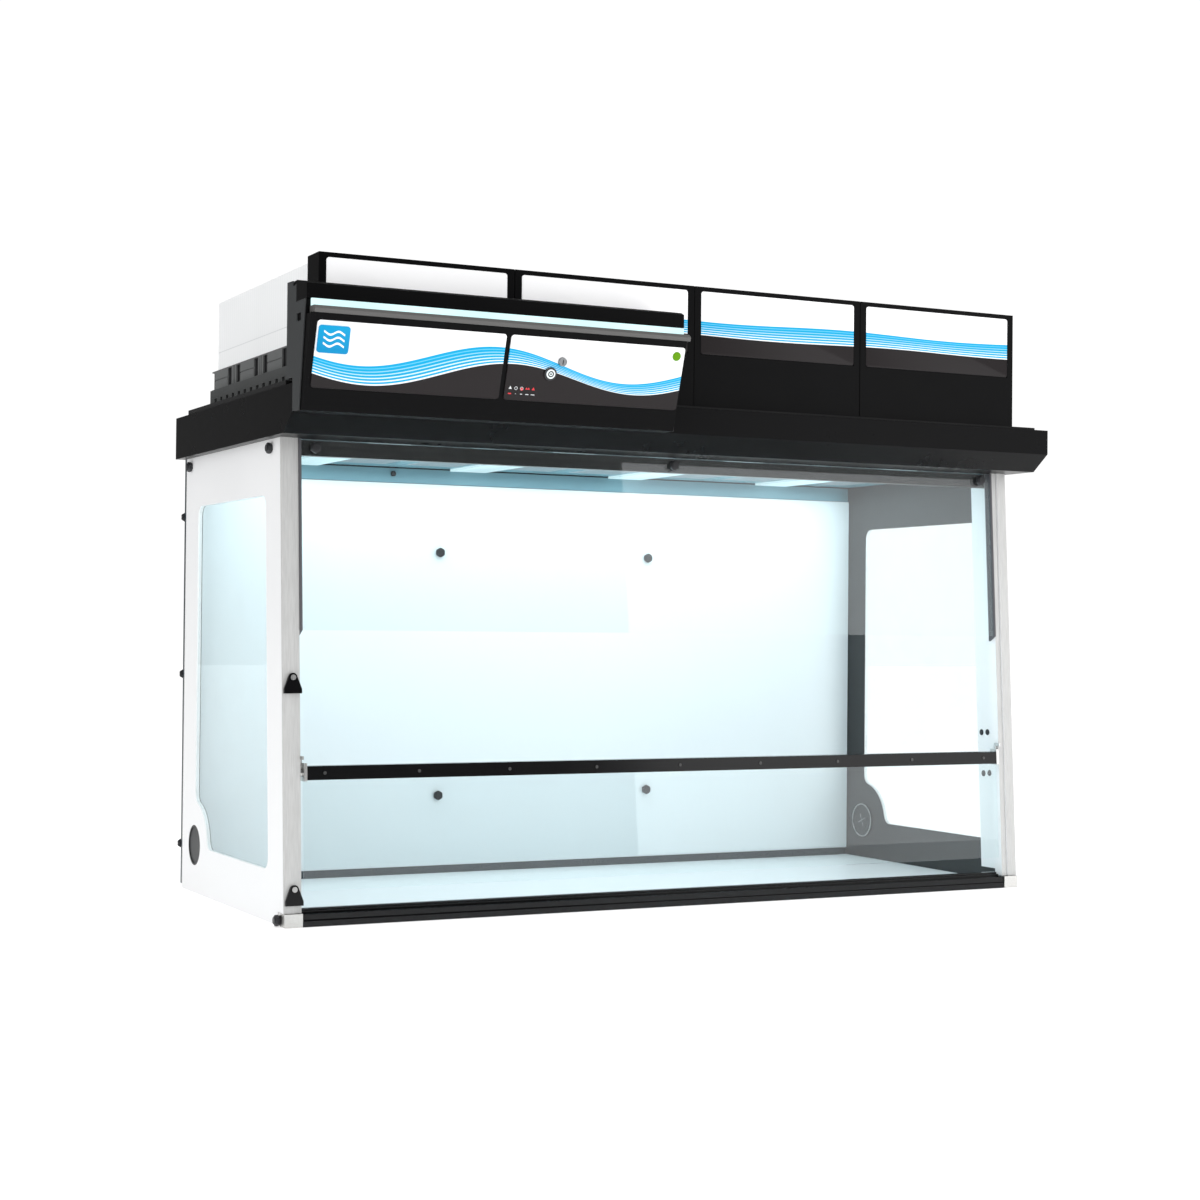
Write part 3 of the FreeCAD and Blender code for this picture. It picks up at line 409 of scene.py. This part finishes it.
def rear_frame_look():
    """Dark strips; inside, the one under the ceiling is painted like the ceiling."""
    look = Look("rear_frame")
    strip_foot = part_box("rear_frame")[1].z - 0.034
    high_up = look.step(look.axes()["Z"], strip_foot, 0.0005)
    forward = look.math("MULTIPLY", look.facing("Y"), -1.0)
    upper = look.math("MULTIPLY", high_up, look.step(forward, 0.5, 0.1))
    cloud = look.noise(3.0, 4.0)
    dark = look.mix(cloud, srgb(54, 62, 66), srgb(64, 72, 77))
    paint = look.mix(cloud, srgb(104, 140, 152), srgb(124, 164, 176))
    return look.surface(Base_Color=look.mix(upper, dark, paint),
                        Roughness=look.spread(cloud, 0.3, 0.42), Specular_IOR_Level=0.35)


def worktop_look():
    """Toughened white glass: a smooth face with faint wipe marks."""
    look = Look("worktop_white")
    wipe = look.noise(5.0, 5.0, 0.6, stretch=(0.5, 3.0, 1))
    base = look.mix(wipe, (0.84, 0.90, 0.92), (0.90, 0.95, 0.965))
    return look.surface(Base_Color=base, Roughness=look.spread(wipe, 0.24, 0.36),
                        Specular_IOR_Level=0.22,
                        Normal=look.bump(look.noise(300.0, 2.0), 0.015, 0.0003))


def housing_look():
    """Milky moulded box with close upright ribs seen through its skin."""
    look = Look("housing_white")
    x, y, z = look.axes()
    rib_pitch = 0.0145
    rib = look.math("SINE", look.math("MULTIPLY", look.math("ADD", x, y), FULL_TURN / rib_pitch))
    rib = look.math("POWER", look.math("ADD", look.math("MULTIPLY", rib, 0.5), 0.5), 6.0)
    cloud = look.noise(5.0, 4.0)
    seam = look.flip(look.step(look.gap(z, HOUSING_SEAM), 0.0009, 0.0008))
    tone = look.mix(cloud, (0.86, 0.875, 0.88), (0.92, 0.93, 0.935))
    tone = look.mix(look.math("MULTIPLY", rib, 0.12), tone, (0.55, 0.58, 0.60))
    tone = look.mix(look.math("MULTIPLY", seam, 0.45), tone, (0.45, 0.47, 0.49))
    return look.surface(Base_Color=tone, Roughness=look.spread(cloud, 0.38, 0.52),
                        Subsurface_Weight=0.25, Subsurface_Radius=(0.02, 0.02, 0.02),
                        Normal=look.bump(rib, 0.10, 0.0006))


def column_offset(look):
    """How far a point is from the middle plane of its own filter column."""
    pitch = (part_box("filter_4")[1].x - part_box("filter_1")[1].x) / 3
    aside = look.math("ABSOLUTE", look.axes()["X"])
    return look.gap(look.gap(aside, pitch), pitch / 2)


def filter_look():
    """Grey moulded frame with painted shade: its clip recesses are coloured dark and its slits
    darker still.
    """
    look = Look("filter_grey")
    offset = column_offset(look)
    low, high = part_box("filter_1")
    half = (high.x - low.x) / 2
    recess, slit = 0.0035, 0.0065
    face = look.step(offset, half - recess, 0.001)
    slit_shade_mask = look.step(offset, half - slit, 0.001)
    cloud = look.noise(9.0, 4.0)
    fine = look.noise(1100.0, 2.0)
    skin = look.mix(cloud, srgb(94, 96, 96), srgb(106, 108, 108))
    # painted shade: a dark colour on the recess floors, darker still in the slits
    inner = look.mix(slit_shade_mask, srgb(12, 12, 13), srgb(34, 35, 36))
    return look.surface(Base_Color=look.mix(face, inner, skin),
                        Roughness=look.spread(cloud, 0.5, 0.65), Specular_IOR_Level=0.25,
                        Normal=look.bump(fine, 0.2, 0.0004))


def deck_look():
    """Black deck; the guide rails that stand on it are grey."""
    look = Look("deck_black")
    rail_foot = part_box("filter_deck")[1].z - 0.0445
    rail = look.step(look.axes()["Z"], rail_foot, 0.0005)
    cloud = look.noise(7.0, 4.0)
    skin = look.mix(cloud, srgb(66, 68, 68), srgb(78, 80, 80))
    return look.surface(Base_Color=look.mix(rail, srgb(26, 26, 27), skin),
                        Roughness=look.spread(cloud, 0.45, 0.6), Specular_IOR_Level=0.2,
                        Normal=look.bump(look.noise(900.0, 2.0), 0.15, 0.0004))


def lock_look():
    """Turned grey metal: rings round the barrel's axis."""
    look = Look("lock_metal")
    offset = look.add("ShaderNodeVectorMath", operation="DISTANCE")
    look.put(offset.inputs[0], look.place)
    look.put(offset.inputs[1], tuple(centre(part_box("lock_barrel"))))
    rings = look.math("SINE", look.math("MULTIPLY", offset.outputs["Value"], 5200.0))
    cloud = look.noise(300.0, 3.0)
    base = look.mix(cloud, srgb(108, 110, 112), srgb(150, 152, 154))
    return look.surface(Base_Color=base, Metallic=0.6, Roughness=look.spread(cloud, 0.35, 0.5),
                        Normal=look.bump(rings, 0.15, 0.0002))


def fabric_look(name, colour, scale):
    """Non-woven filter mat or a bed of grains."""
    look = Look(name)
    cell = look.cells(scale)
    fibre = look.noise(scale * 2, 4.0, 0.7)
    base = look.mix(cell, shade(colour, 1.4), shade(colour, 0.6))
    return look.surface(Base_Color=base, Roughness=look.spread(fibre, 0.75, 1.0),
                        Sheen_Weight=0.2,
                        Normal=look.bump(look.math("ADD", cell, fibre), 0.6, 0.001))


def board_look():
    """Green resist in blocks, with thin copper tracks between them."""
    look = Look("board_green")
    blocks = look.add("ShaderNodeTexBrick")
    look.put(blocks.inputs["Vector"], look.place)
    look.put(blocks.inputs["Scale"], 90.0)
    look.put(blocks.inputs["Color1"], (0.015, 0.13, 0.05))
    look.put(blocks.inputs["Color2"], (0.02, 0.18, 0.07))
    look.put(blocks.inputs["Mortar"], (0.45, 0.36, 0.12))
    look.put(blocks.inputs["Mortar Size"], 0.03)
    return look.surface(Base_Color=blocks.outputs["Color"],
                        Roughness=look.spread(look.noise(60.0), 0.3, 0.5))


SLOT_LOOKS = {
    "bench_white": worktop_look(),
    "sill_black": plastic("sill_black", srgb(4, 4, 6), 0.16, relief=0.01, specular=0.3),
    "cap_silver": metal("cap_silver", (0.72, 0.71, 0.69), 0.38),
    "white_panel": side_frame_look(),
    "clear_glass": glass("clear_glass", 0.012, 0.96),
    "post_grey": post_look(),
    "back_white": rear_panel_look(),
    "dark_frame": plastic("dark_frame", srgb(58, 66, 71), 0.38, specular=0.4),
    "seal_grey": plastic("seal_grey", srgb(84, 84, 88), 0.7, grain=400.0, relief=0.3),
    "black_metal": plastic("black_metal", srgb(11, 11, 12), 0.28, grain=700.0, relief=0.02,
                           specular=0.07),
    "deck_black": plastic("inlet_black", srgb(26, 26, 27), 0.5, relief=0.2, specular=0.2),
    "cover_black": plastic("cover_black", srgb(9, 9, 10), 0.36, relief=0.12, specular=0.07),
    "housing_white": housing_look(),
    "filter_grey": filter_look(),
    "carbon": fabric_look("carbon", (0.02, 0.02, 0.021), 500.0),
    "prefilter": fabric_look("prefilter", (0.2, 0.28, 0.32), 350.0),
    "ceiling_blue": plastic("ceiling_blue", srgb(132, 176, 188), 0.25, relief=0.03, specular=0.4),
    "light_strip": glow("light_strip", (0.66, 0.90, 0.96), 1.0, 40.0),
    "cheek_grey": plastic("cheek_grey", srgb(57, 59, 60), 0.45, relief=0.2, specular=0.25),
    "lip_grey": plastic("lip_grey", srgb(92, 91, 90), 0.4, relief=0.1, specular=0.4),
    "status_light": glow("status_light", (0.70, 0.99, 1.0), 1.17, 25.0),
    "bright_metal": metal("bright_metal", (0.62, 0.62, 0.61), 0.28, along=(1, 1, 0.1)),
    "knob_black": plastic("knob_black", srgb(44, 45, 48), 0.42, grain=1400.0, relief=0.2,
                          specular=0.4),
    "wire_steel": metal("wire_steel", (0.6, 0.61, 0.62), 0.3),
    "fan_grey": plastic("fan_grey", srgb(90, 92, 95), 0.5, specular=0.4),
    "motor_metal": metal("motor_metal", (0.5, 0.5, 0.5), 0.42, scale=120.0),
    "board_green": board_look(),
    "badge_blue": badge_print(),
}
NODE_LOOKS = {
    "control_panel_left": control_print(),
    "cover_plates": cover_print(),
    "power_button": button_print(),
    "filter_deck": deck_look(),
    "lock_barrel": lock_look(),
    "rear_frame": rear_frame_look(),
    "front_beam": plastic("beam_black", srgb(28, 29, 29), 0.3, specular=0.2),
    "button_bezel": metal("bezel_metal", (0.06, 0.06, 0.063), 0.3),
    "side_windows": glass("side_glass", 0.12, 0.05),
    "flap_screws": metal("screw_metal", (0.10, 0.10, 0.10), 0.45),
}
NODE_LOOKS["control_panel_right"] = NODE_LOOKS["control_panel_left"]


def dress_nodes():
    """Each carried-over node takes its own look, or the look of its material slot."""
    for name, thing in nodes.items():
        slot_name = thing.material_slots[0].name.split(".")[0]
        look = NODE_LOOKS.get(name) or SLOT_LOOKS[slot_name]
        for holder in thing.material_slots:
            holder.material = look


# --------------------------------------------------------------------------
# Soft edges on folded and moulded nodes
# --------------------------------------------------------------------------

# How wide each node's bevels are, in millimetres.
BEVEL_WIDTHS = {
    "plenum_tray": 0.75, "control_housing": 0.6, "control_cheeks": 0.6, "light_bar_hood": 0.75,
    "light_bar_lip": 0.75, "front_sill": 0.75, "flap_rail": 0.6, "front_posts": 0.5,
    "sill_end_caps": 0.4, "power_inlet": 0.4,
    **{"front_cover_%d" % number: 0.75 for number in COLUMNS},
    **{"fan_housing_%d" % number: 1.0 for number in COLUMNS},
}


def round_edges():
    """Welds the mesh of each listed node and bevels its sharp edges."""
    for name, width in BEVEL_WIDTHS.items():
        thing = nodes[name]
        weld = thing.modifiers.new("weld", "WELD")
        weld.merge_threshold = 1e-5
        bevel = thing.modifiers.new("round_edges", "BEVEL")
        bevel.width = width * MM
        bevel.segments = 2
        bevel.limit_method = "ANGLE"
        bevel.angle_limit = math.radians(35)
        bevel.harden_normals = True


# --------------------------------------------------------------------------
# Fine pieces
# --------------------------------------------------------------------------

def finish_piece(name, maker, look, body, smooth=True):
    """Turns a bmesh into an object that rides on a body."""
    mesh = bpy.data.meshes.new(name)
    maker.normal_update()
    maker.to_mesh(mesh)
    maker.free()
    thing = bpy.data.objects.new(name, mesh)
    bpy.context.scene.collection.objects.link(thing)
    mesh.materials.append(look)
    for face in mesh.polygons:
        face.use_smooth = smooth
    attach(thing, body)
    return thing


def skin_rows(maker, rows):
    """Joins closed rows of points, one to the next, and closes both ends."""
    count = len(rows[0])
    for lower, upper in zip(rows, rows[1:]):
        for step in range(count):
            after = (step + 1) % count
            maker.faces.new((lower[step], lower[after], upper[after], upper[step]))
    maker.faces.new(list(reversed(rows[0])))
    maker.faces.new(rows[-1])


def lathe(maker, place, rings, steps, lobes=0):
    """Adds rings (height, radius, lobe depth) round the local Z axis and skins them."""
    rows = []
    for height, radius, depth in rings:
        row = []
        for step in range(steps):
            turn = FULL_TURN * step / steps
            reach = radius * (1 - depth * (0.5 - 0.5 * math.cos(lobes * turn)))
            point = Vector((reach * math.cos(turn), reach * math.sin(turn), height))
            row.append(maker.verts.new(place @ point))
        rows.append(row)
    skin_rows(maker, rows)


def solid_islands(node_name):
    """The separate solids of a node, as lists of points."""
    maker = bmesh.new()
    maker.from_mesh(nodes[node_name].data)
    bmesh.ops.remove_doubles(maker, verts=maker.verts, dist=1e-6)
    waiting = set(maker.verts)
    islands = []
    while waiting:
        reached = {waiting.pop()}
        to_visit = list(reached)
        while to_visit:
            vertex = to_visit.pop()
            for edge in vertex.link_edges:
                other = edge.other_vert(vertex)
                if other in waiting:
                    waiting.discard(other)
                    reached.add(other)
                    to_visit.append(other)
        islands.append([vertex.co.copy() for vertex in reached])
    maker.free()
    islands.sort(key=rounded_middle)
    return islands


def rounded_middle(points):
    middle = sum(points, Vector()) / len(points)
    return tuple(round(part, 4) for part in middle)


def off_axis(offset, axis):
    """How far an offset reaches away from an axis."""
    return (offset - axis * offset.dot(axis)).length


def knob_frame(points):
    """A knob's base point, outward axis, height and radius, from its plain solid's points."""
    low = Vector(map(min, *points))
    high = Vector(map(max, *points))
    middle = (low + high) / 2
    offsets = [point - middle for point in points]
    radius = math.inf
    for way in (Vector((1, 0, 0)), Vector((0, 1, 0)), LEAN_AXIS):
        wide = max(off_axis(offset, way) for offset in offsets)
        if wide < radius:
            radius = wide
            axis = way
    along = [offset.dot(axis) for offset in offsets]
    start, end = min(along), max(along)
    halfway = (start + end) / 2
    near_reach = far_reach = 0.0
    for offset, level in zip(offsets, along):
        reach = off_axis(offset, axis)
        if level > halfway:
            far_reach = max(far_reach, reach)
        else:
            near_reach = max(near_reach, reach)
    if far_reach >= near_reach:
        return middle + axis * start, axis, end - start, radius
    return middle + axis * end, -axis, end - start, radius


# Share of the knob's height, share of its radius, and how deep its lobes are there.
KNOB_PROFILE = (
    (0.0, 0.62, 0.0), (0.16, 0.62, 0.0), (0.20, 0.90, 0.04),       # collar and underside
    (0.26, 0.985, 0.10), (0.60, 1.0, 0.12), (0.80, 0.97, 0.11),    # grip
    (0.92, 0.88, 0.06), (0.985, 0.74, 0.02), (0.985, 0.62, 0.0),   # rim
    (0.93, 0.55, 0.0), (0.93, 0.34, 0.0),                          # dish
    (1.0, 0.28, 0.0), (1.0, 0.10, 0.0),                            # middle boss
)


def build_knobs():
    """Six-lobed hand knobs with a collar, a soft rim and a dished crown."""
    maker = bmesh.new()
    for points in solid_islands("panel_knobs"):
        base, axis, length, radius = knob_frame(points)
        place = Matrix.Translation(base) @ axis.to_track_quat("Z", "X").to_matrix().to_4x4()
        rings = [(up * length, out * radius, depth) for up, out, depth in KNOB_PROFILE]
        lathe(maker, place, rings, 48, lobes=6)
    knobs = finish_piece("hand_knobs", maker, SLOT_LOOKS["knob_black"], "hood")
    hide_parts("panel_knobs")
    knobs.data.set_sharp_from_angle(angle=math.radians(38))


def on_panel(x, z):
    """A frame whose Z points out of the leaning control panel."""
    foot_y, foot_z = PANEL_FOOT
    y = foot_y - PANEL_REACH * (z - foot_z) / PANEL_RISE
    return Matrix.Translation((x, y, z)) @ PANEL_TURN


def facing_side(sign):
    """Turns a local Z axis to point at the middle plane, from the side of this sign."""
    return Matrix.Rotation(-sign * math.pi / 2, 4, "Y")


def rounded_outline(half_width, half_height, radius, steps=6):
    """Points round a rectangle with arcs for corners."""
    points = []
    for quarter, (sx, sy) in enumerate(((1, 1), (-1, 1), (-1, -1), (1, -1))):
        for step in range(steps + 1):
            turn = (quarter + step / steps) * FULL_TURN / 4
            points.append((sx * (half_width - radius) + radius * math.cos(turn),
                           sy * (half_height - radius) + radius * math.sin(turn)))
    return points


def tile(maker, place, half_width, half_height, radius, height, soft):
    """A rounded plate with a soft upper edge."""
    rows = []
    for level, inset in ((0.0, 0.0), (height - soft, 0.0), (height - soft * 0.3, soft * 0.3),
                         (height, soft)):
        outline = rounded_outline(half_width - inset, half_height - inset,
                                  max(radius - inset, 0.0002))
        rows.append([maker.verts.new(place @ Vector((*point, level))) for point in outline])
    skin_rows(maker, rows)


def ring(maker, place, radius, thick, steps):
    """A half-round ring lying on the local XY plane."""
    sides = 8
    rows = []
    for step in range(steps):
        turn = FULL_TURN * step / steps
        row = []
        for side in range(sides):
            lift = FULL_TURN * side / sides
            reach = radius + thick * math.cos(lift)
            height = max(0.0, thick * math.sin(lift))
            point = Vector((reach * math.cos(turn), reach * math.sin(turn), height))
            row.append(maker.verts.new(place @ point))
        rows.append(row)
    for step, row in enumerate(rows):
        after = rows[(step + 1) % steps]
        for side in range(sides):
            other = (side + 1) % sides
            maker.faces.new((row[side], after[side], after[other], row[other]))


def build_badge():
    """A rounded tile that leans with the control panel."""
    low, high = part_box("badge")
    middle = (low + high) / 2
    maker = bmesh.new()
    half_width = (high.x - low.x) / 2 - 0.001
    half_height = (high.z - low.z) / PANEL_UP.z / 2 - 0.002
    tile(maker, on_panel(middle.x, middle.z), half_width, half_height, 0.006, 0.0038, 0.0012)
    badge = finish_piece("badge_tile", maker, SLOT_LOOKS["badge_blue"], "hood")
    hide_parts("badge")
    badge.data.set_sharp_from_angle(angle=math.radians(50))


def build_cover_plates():
    """A rounded printed plate on each front cover."""
    maker = bmesh.new()
    low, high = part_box("cover_plates")
    upright = Matrix((Vector((1, 0, 0)), Vector((0, 0, 1)), Vector((0, -1, 0)))).transposed()
    for number in COLUMNS:
        middle = centre(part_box("front_cover_%d" % number))
        place = Matrix.Translation((middle.x, high.y, (low.z + high.z) / 2)) @ upright.to_4x4()
        tile(maker, place, PLATE_HALF_WIDTH, (high.z - low.z) / 2, 0.006, high.y - low.y, 0.0004)
    plates = finish_piece("cover_labels", maker, NODE_LOOKS["cover_plates"], "hood")
    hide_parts("cover_plates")
    plates.data.set_sharp_from_angle(angle=math.radians(40))


def build_port_rims():
    """A bright rim and a small cross on the inner face of each service port."""
    maker = bmesh.new()
    low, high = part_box("port_covers")
    middle = (low + high) / 2
    radius = (high.z - low.z) / 2 - 0.003
    cross_turn = 0.4
    for sign in (-1, 1):
        place = Matrix.Translation((sign * PORT_FACE, middle.y, middle.z)) @ facing_side(sign)
        ring(maker, place, radius, 0.0016, 56)
        for spoke in range(2):
            bar = place @ Matrix.Rotation(spoke * math.pi / 2 + cross_turn, 4, "Z")
            tile(maker, bar, radius * 0.42, 0.0008, 0.0004, 0.0006, 0.0002)
    finish_piece("port_rims", maker, SLOT_LOOKS["bright_metal"], "hood")


def build_sensor():
    """The small round air sensor above the rear panel."""
    maker = bmesh.new()
    x, z = -0.4056, 0.9638
    forward = Matrix.Rotation(math.pi / 2, 4, "X")
    place = Matrix.Translation((x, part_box("rear_frame")[0].y, z)) @ forward
    rings = [(0.0, 0.0065, 0.0), (0.005, 0.0065, 0.0), (0.007, 0.0052, 0.0),
             (0.008, 0.002, 0.0)]
    lathe(maker, place, rings, 32)
    finish_piece("air_sensor", maker, SLOT_LOOKS["knob_black"], "hood")


def build_lamp():
    """The green lamp at the right end of the control panel."""
    look = Look("lamp_green")
    cell = look.cells(900.0)
    colour = look.mix(cell, srgb(88, 140, 0), srgb(98, 150, 0))
    lens = look.surface(Base_Color=colour, Roughness=look.spread(cell, 0.3, 0.45),
                        Specular_IOR_Level=0.15, Emission_Color=srgb(120, 180, 0),
                        Emission_Strength=0.06)
    maker = bmesh.new()
    radius = 0.0095
    rings = [(0.0, radius, 0.0), (0.0006, radius, 0.0), (0.0013, 0.9 * radius, 0.0),
             (0.0018, 0.6 * radius, 0.0), (0.0020, 0.2 * radius, 0.0)]
    lamp_x, lamp_z = -0.120, 1.165
    lathe(maker, on_panel(lamp_x, lamp_z), rings, 40)
    finish_piece("status_lamp", maker, lens, "hood")


def build_marks():
    """Two rows of small generic indicator marks under the button."""
    white = plastic("mark_white", srgb(225, 228, 230), 0.4)
    red = plastic("mark_red", srgb(225, 44, 52), 0.4)
    whites, reds = bmesh.new(), bmesh.new()
    step = 0.0128
    thin = 0.0004
    first = -0.4865
    upper, lower = 1.0805, 1.0695
    point_up = Matrix.Rotation(math.pi / 2, 4, "Z")
    wedge = [(0.0, 0.0040, 0.0), (thin, 0.0040, 0.0), (thin, 0.001, 0.0)]
    small_wedge = [(0.0, 0.0030, 0.0), (thin, 0.0030, 0.0), (thin, 0.001, 0.0)]
    lathe(whites, on_panel(first, upper) @ point_up, wedge, 3)
    ring(whites, on_panel(first + step, upper), 0.0030, 0.0005, 28)
    ring(whites, on_panel(first + 2 * step, upper), 0.0030, 0.0005, 28)
    lathe(reds, on_panel(first + 2 * step, upper - 0.0012), small_wedge, 20)
    apart = 0.0024
    for shift in (-apart, apart):
        lathe(reds, on_panel(first + 3 * step + shift, upper) @ point_up, small_wedge, 3)
    lathe(reds, on_panel(first + 4 * step, upper) @ point_up, wedge, 3)
    tile(reds, on_panel(first, lower), 0.0034, 0.0013, 0.0006, thin, 0.0001)
    for column, half in enumerate((0.0006, 0.0022, 0.0036, 0.0042), start=1):
        tile(whites, on_panel(first + column * step, lower), half, 0.0007, 0.0003, thin, 0.0001)
    finish_piece("indicator_marks_white", whites, white, "hood", smooth=False)
    finish_piece("indicator_marks_red", reds, red, "hood", smooth=False)


def build_post_dots():
    """Blanking buttons on the inner plates of the front posts."""
    maker = bmesh.new()
    spots = ((-0.168, 0.359), (-0.191, 0.360), (-0.177, 0.261), (-0.200, 0.263))
    rings = [(0.0, 0.0072, 0.0), (0.0008, 0.0072, 0.0), (0.0018, 0.0058, 0.0),
             (0.0022, 0.0025, 0.0)]
    for sign in (-1, 1):
        for y, z in spots:
            place = Matrix.Translation((sign * POST_PLATE, y, z)) @ facing_side(sign)
            lathe(maker, place, rings, 28)
    finish_piece("post_blanking_buttons", maker, SLOT_LOOKS["knob_black"], "hood")


# --------------------------------------------------------------------------
# Stage
# --------------------------------------------------------------------------

def build_floor():
    """A wide pale floor that glows a little, so that it runs into the background."""
    look = Look("floor_pale")
    cloud = look.noise(0.8, 2.0)
    colour = look.mix(cloud, (0.94, 0.94, 0.94), (0.96, 0.96, 0.96))
    pale = look.surface(Base_Color=colour, Roughness=0.9, Specular_IOR_Level=0.1,
                        Emission_Color=(1, 1, 1), Emission_Strength=0.42)
    bpy.ops.mesh.primitive_plane_add(size=60, location=(0, 0, -0.0005))
    floor = bpy.context.object
    floor.name = "floor"
    floor.data.materials.append(pale)


def build_world():
    """A white surround, dimmer as light and dimmer still in mirrors than to the camera."""
    world = bpy.data.worlds.new("studio")
    bpy.context.scene.world = world
    world.use_nodes = True
    tree = world.node_tree
    tree.nodes.clear()
    path = tree.nodes.new("ShaderNodeLightPath").outputs
    shown = tree.nodes.new("ShaderNodeMapRange")
    mirrored = tree.nodes.new("ShaderNodeMapRange")
    background = tree.nodes.new("ShaderNodeBackground")
    output = tree.nodes.new("ShaderNodeOutputWorld")
    background.inputs["Color"].default_value = (1, 1, 1, 1)
    mirrored.inputs["To Min"].default_value = 0.78
    mirrored.inputs["To Max"].default_value = 0.16
    shown.inputs["To Max"].default_value = 1.05
    tree.links.new(path["Is Glossy Ray"], mirrored.inputs["Value"])
    tree.links.new(mirrored.outputs["Result"], shown.inputs["To Min"])
    tree.links.new(path["Is Camera Ray"], shown.inputs["Value"])
    tree.links.new(shown.outputs["Result"], background.inputs["Strength"])
    tree.links.new(background.outputs[0], output.inputs["Surface"])


def area_light(name, place, target, width, height, radiance, colour=(1, 1, 1), mirrored=False):
    """A soft rectangle of light; radiance is what a mirror would show of it."""
    lamp = bpy.data.lights.new(name, "AREA")
    lamp.shape = "RECTANGLE"
    lamp.size = width
    lamp.size_y = height
    lamp.color = colour
    lamp.energy = radiance * width * height * math.pi
    thing = bpy.data.objects.new(name, lamp)
    thing.location = place
    direction = Vector(target) - Vector(place)
    thing.rotation_euler = direction.to_track_quat("-Z", "Y").to_euler()
    thing.visible_glossy = mirrored
    bpy.context.scene.collection.objects.link(thing)


def build_lights():
    """Soft cards round the hood, the glow of its light strips and what they throw back up."""
    area_light("key_card", (3.1, -3.5, 1.45), (3.1, 0.0, 1.45), 3.0, 2.7, 1.7, mirrored=True)
    area_light("left_card", (-4.2, -0.9, 2.0), (-0.9, 0.0, 0.5), 2.4, 2.6, 0.32)
    area_light("front_card", (-1.2, -4.5, 2.6), (0.0, -0.3, 0.9), 3.0, 2.0, 1.3)
    area_light("top_card", (0.0, -0.5, 4.2), (0.0, 0.0, 0.9), 4.0, 3.0, 1.3)
    area_light("chamber_light", (0.0, 0.22, 0.968), (0.0, 0.22, 0.0), 1.7, 0.3, 3.3,
               colour=(0.86, 0.97, 1.0))
    area_light("ceiling_bounce", (0.0, -0.02, 0.80), (0.0, -0.02, 1.0), 1.6, 0.4, 0.30,
               colour=(0.72, 0.94, 1.0))


def build_camera():
    """The camera stands low at the left front and looks along the hood's diagonal."""
    place = (-2.26187, -4.34387, 0.58948)
    focal_length = 1.7827133      # in widths of the sensor
    sensor_width = 36
    yaw = math.radians(26.8556)
    pitch = math.radians(0.8790)
    roll = math.radians(0.5179)
    forward = Vector((math.sin(yaw) * math.cos(pitch), math.cos(yaw) * math.cos(pitch),
                      math.sin(pitch)))
    level = Vector((math.cos(yaw), -math.sin(yaw), 0))
    upright = level.cross(forward)
    right = level * math.cos(roll) + upright * math.sin(roll)
    up = upright * math.cos(roll) - level * math.sin(roll)
    data = bpy.data.cameras.new("photo_camera")
    data.sensor_width = sensor_width
    data.lens = sensor_width * focal_length
    camera = bpy.data.objects.new("photo_camera", data)
    bpy.context.scene.collection.objects.link(camera)
    turn = Matrix((right, up, -forward)).transposed().to_4x4()
    camera.matrix_world = Matrix.Translation(place) @ turn
    bpy.context.scene.camera = camera


build_camera()
dress_nodes()
round_edges()
build_knobs()
build_badge()
build_cover_plates()
build_port_rims()
build_sensor()
build_lamp()
build_marks()
build_post_dots()
build_floor()
build_world()
build_lights()
bpy.context.scene.view_settings.view_transform = "Standard"
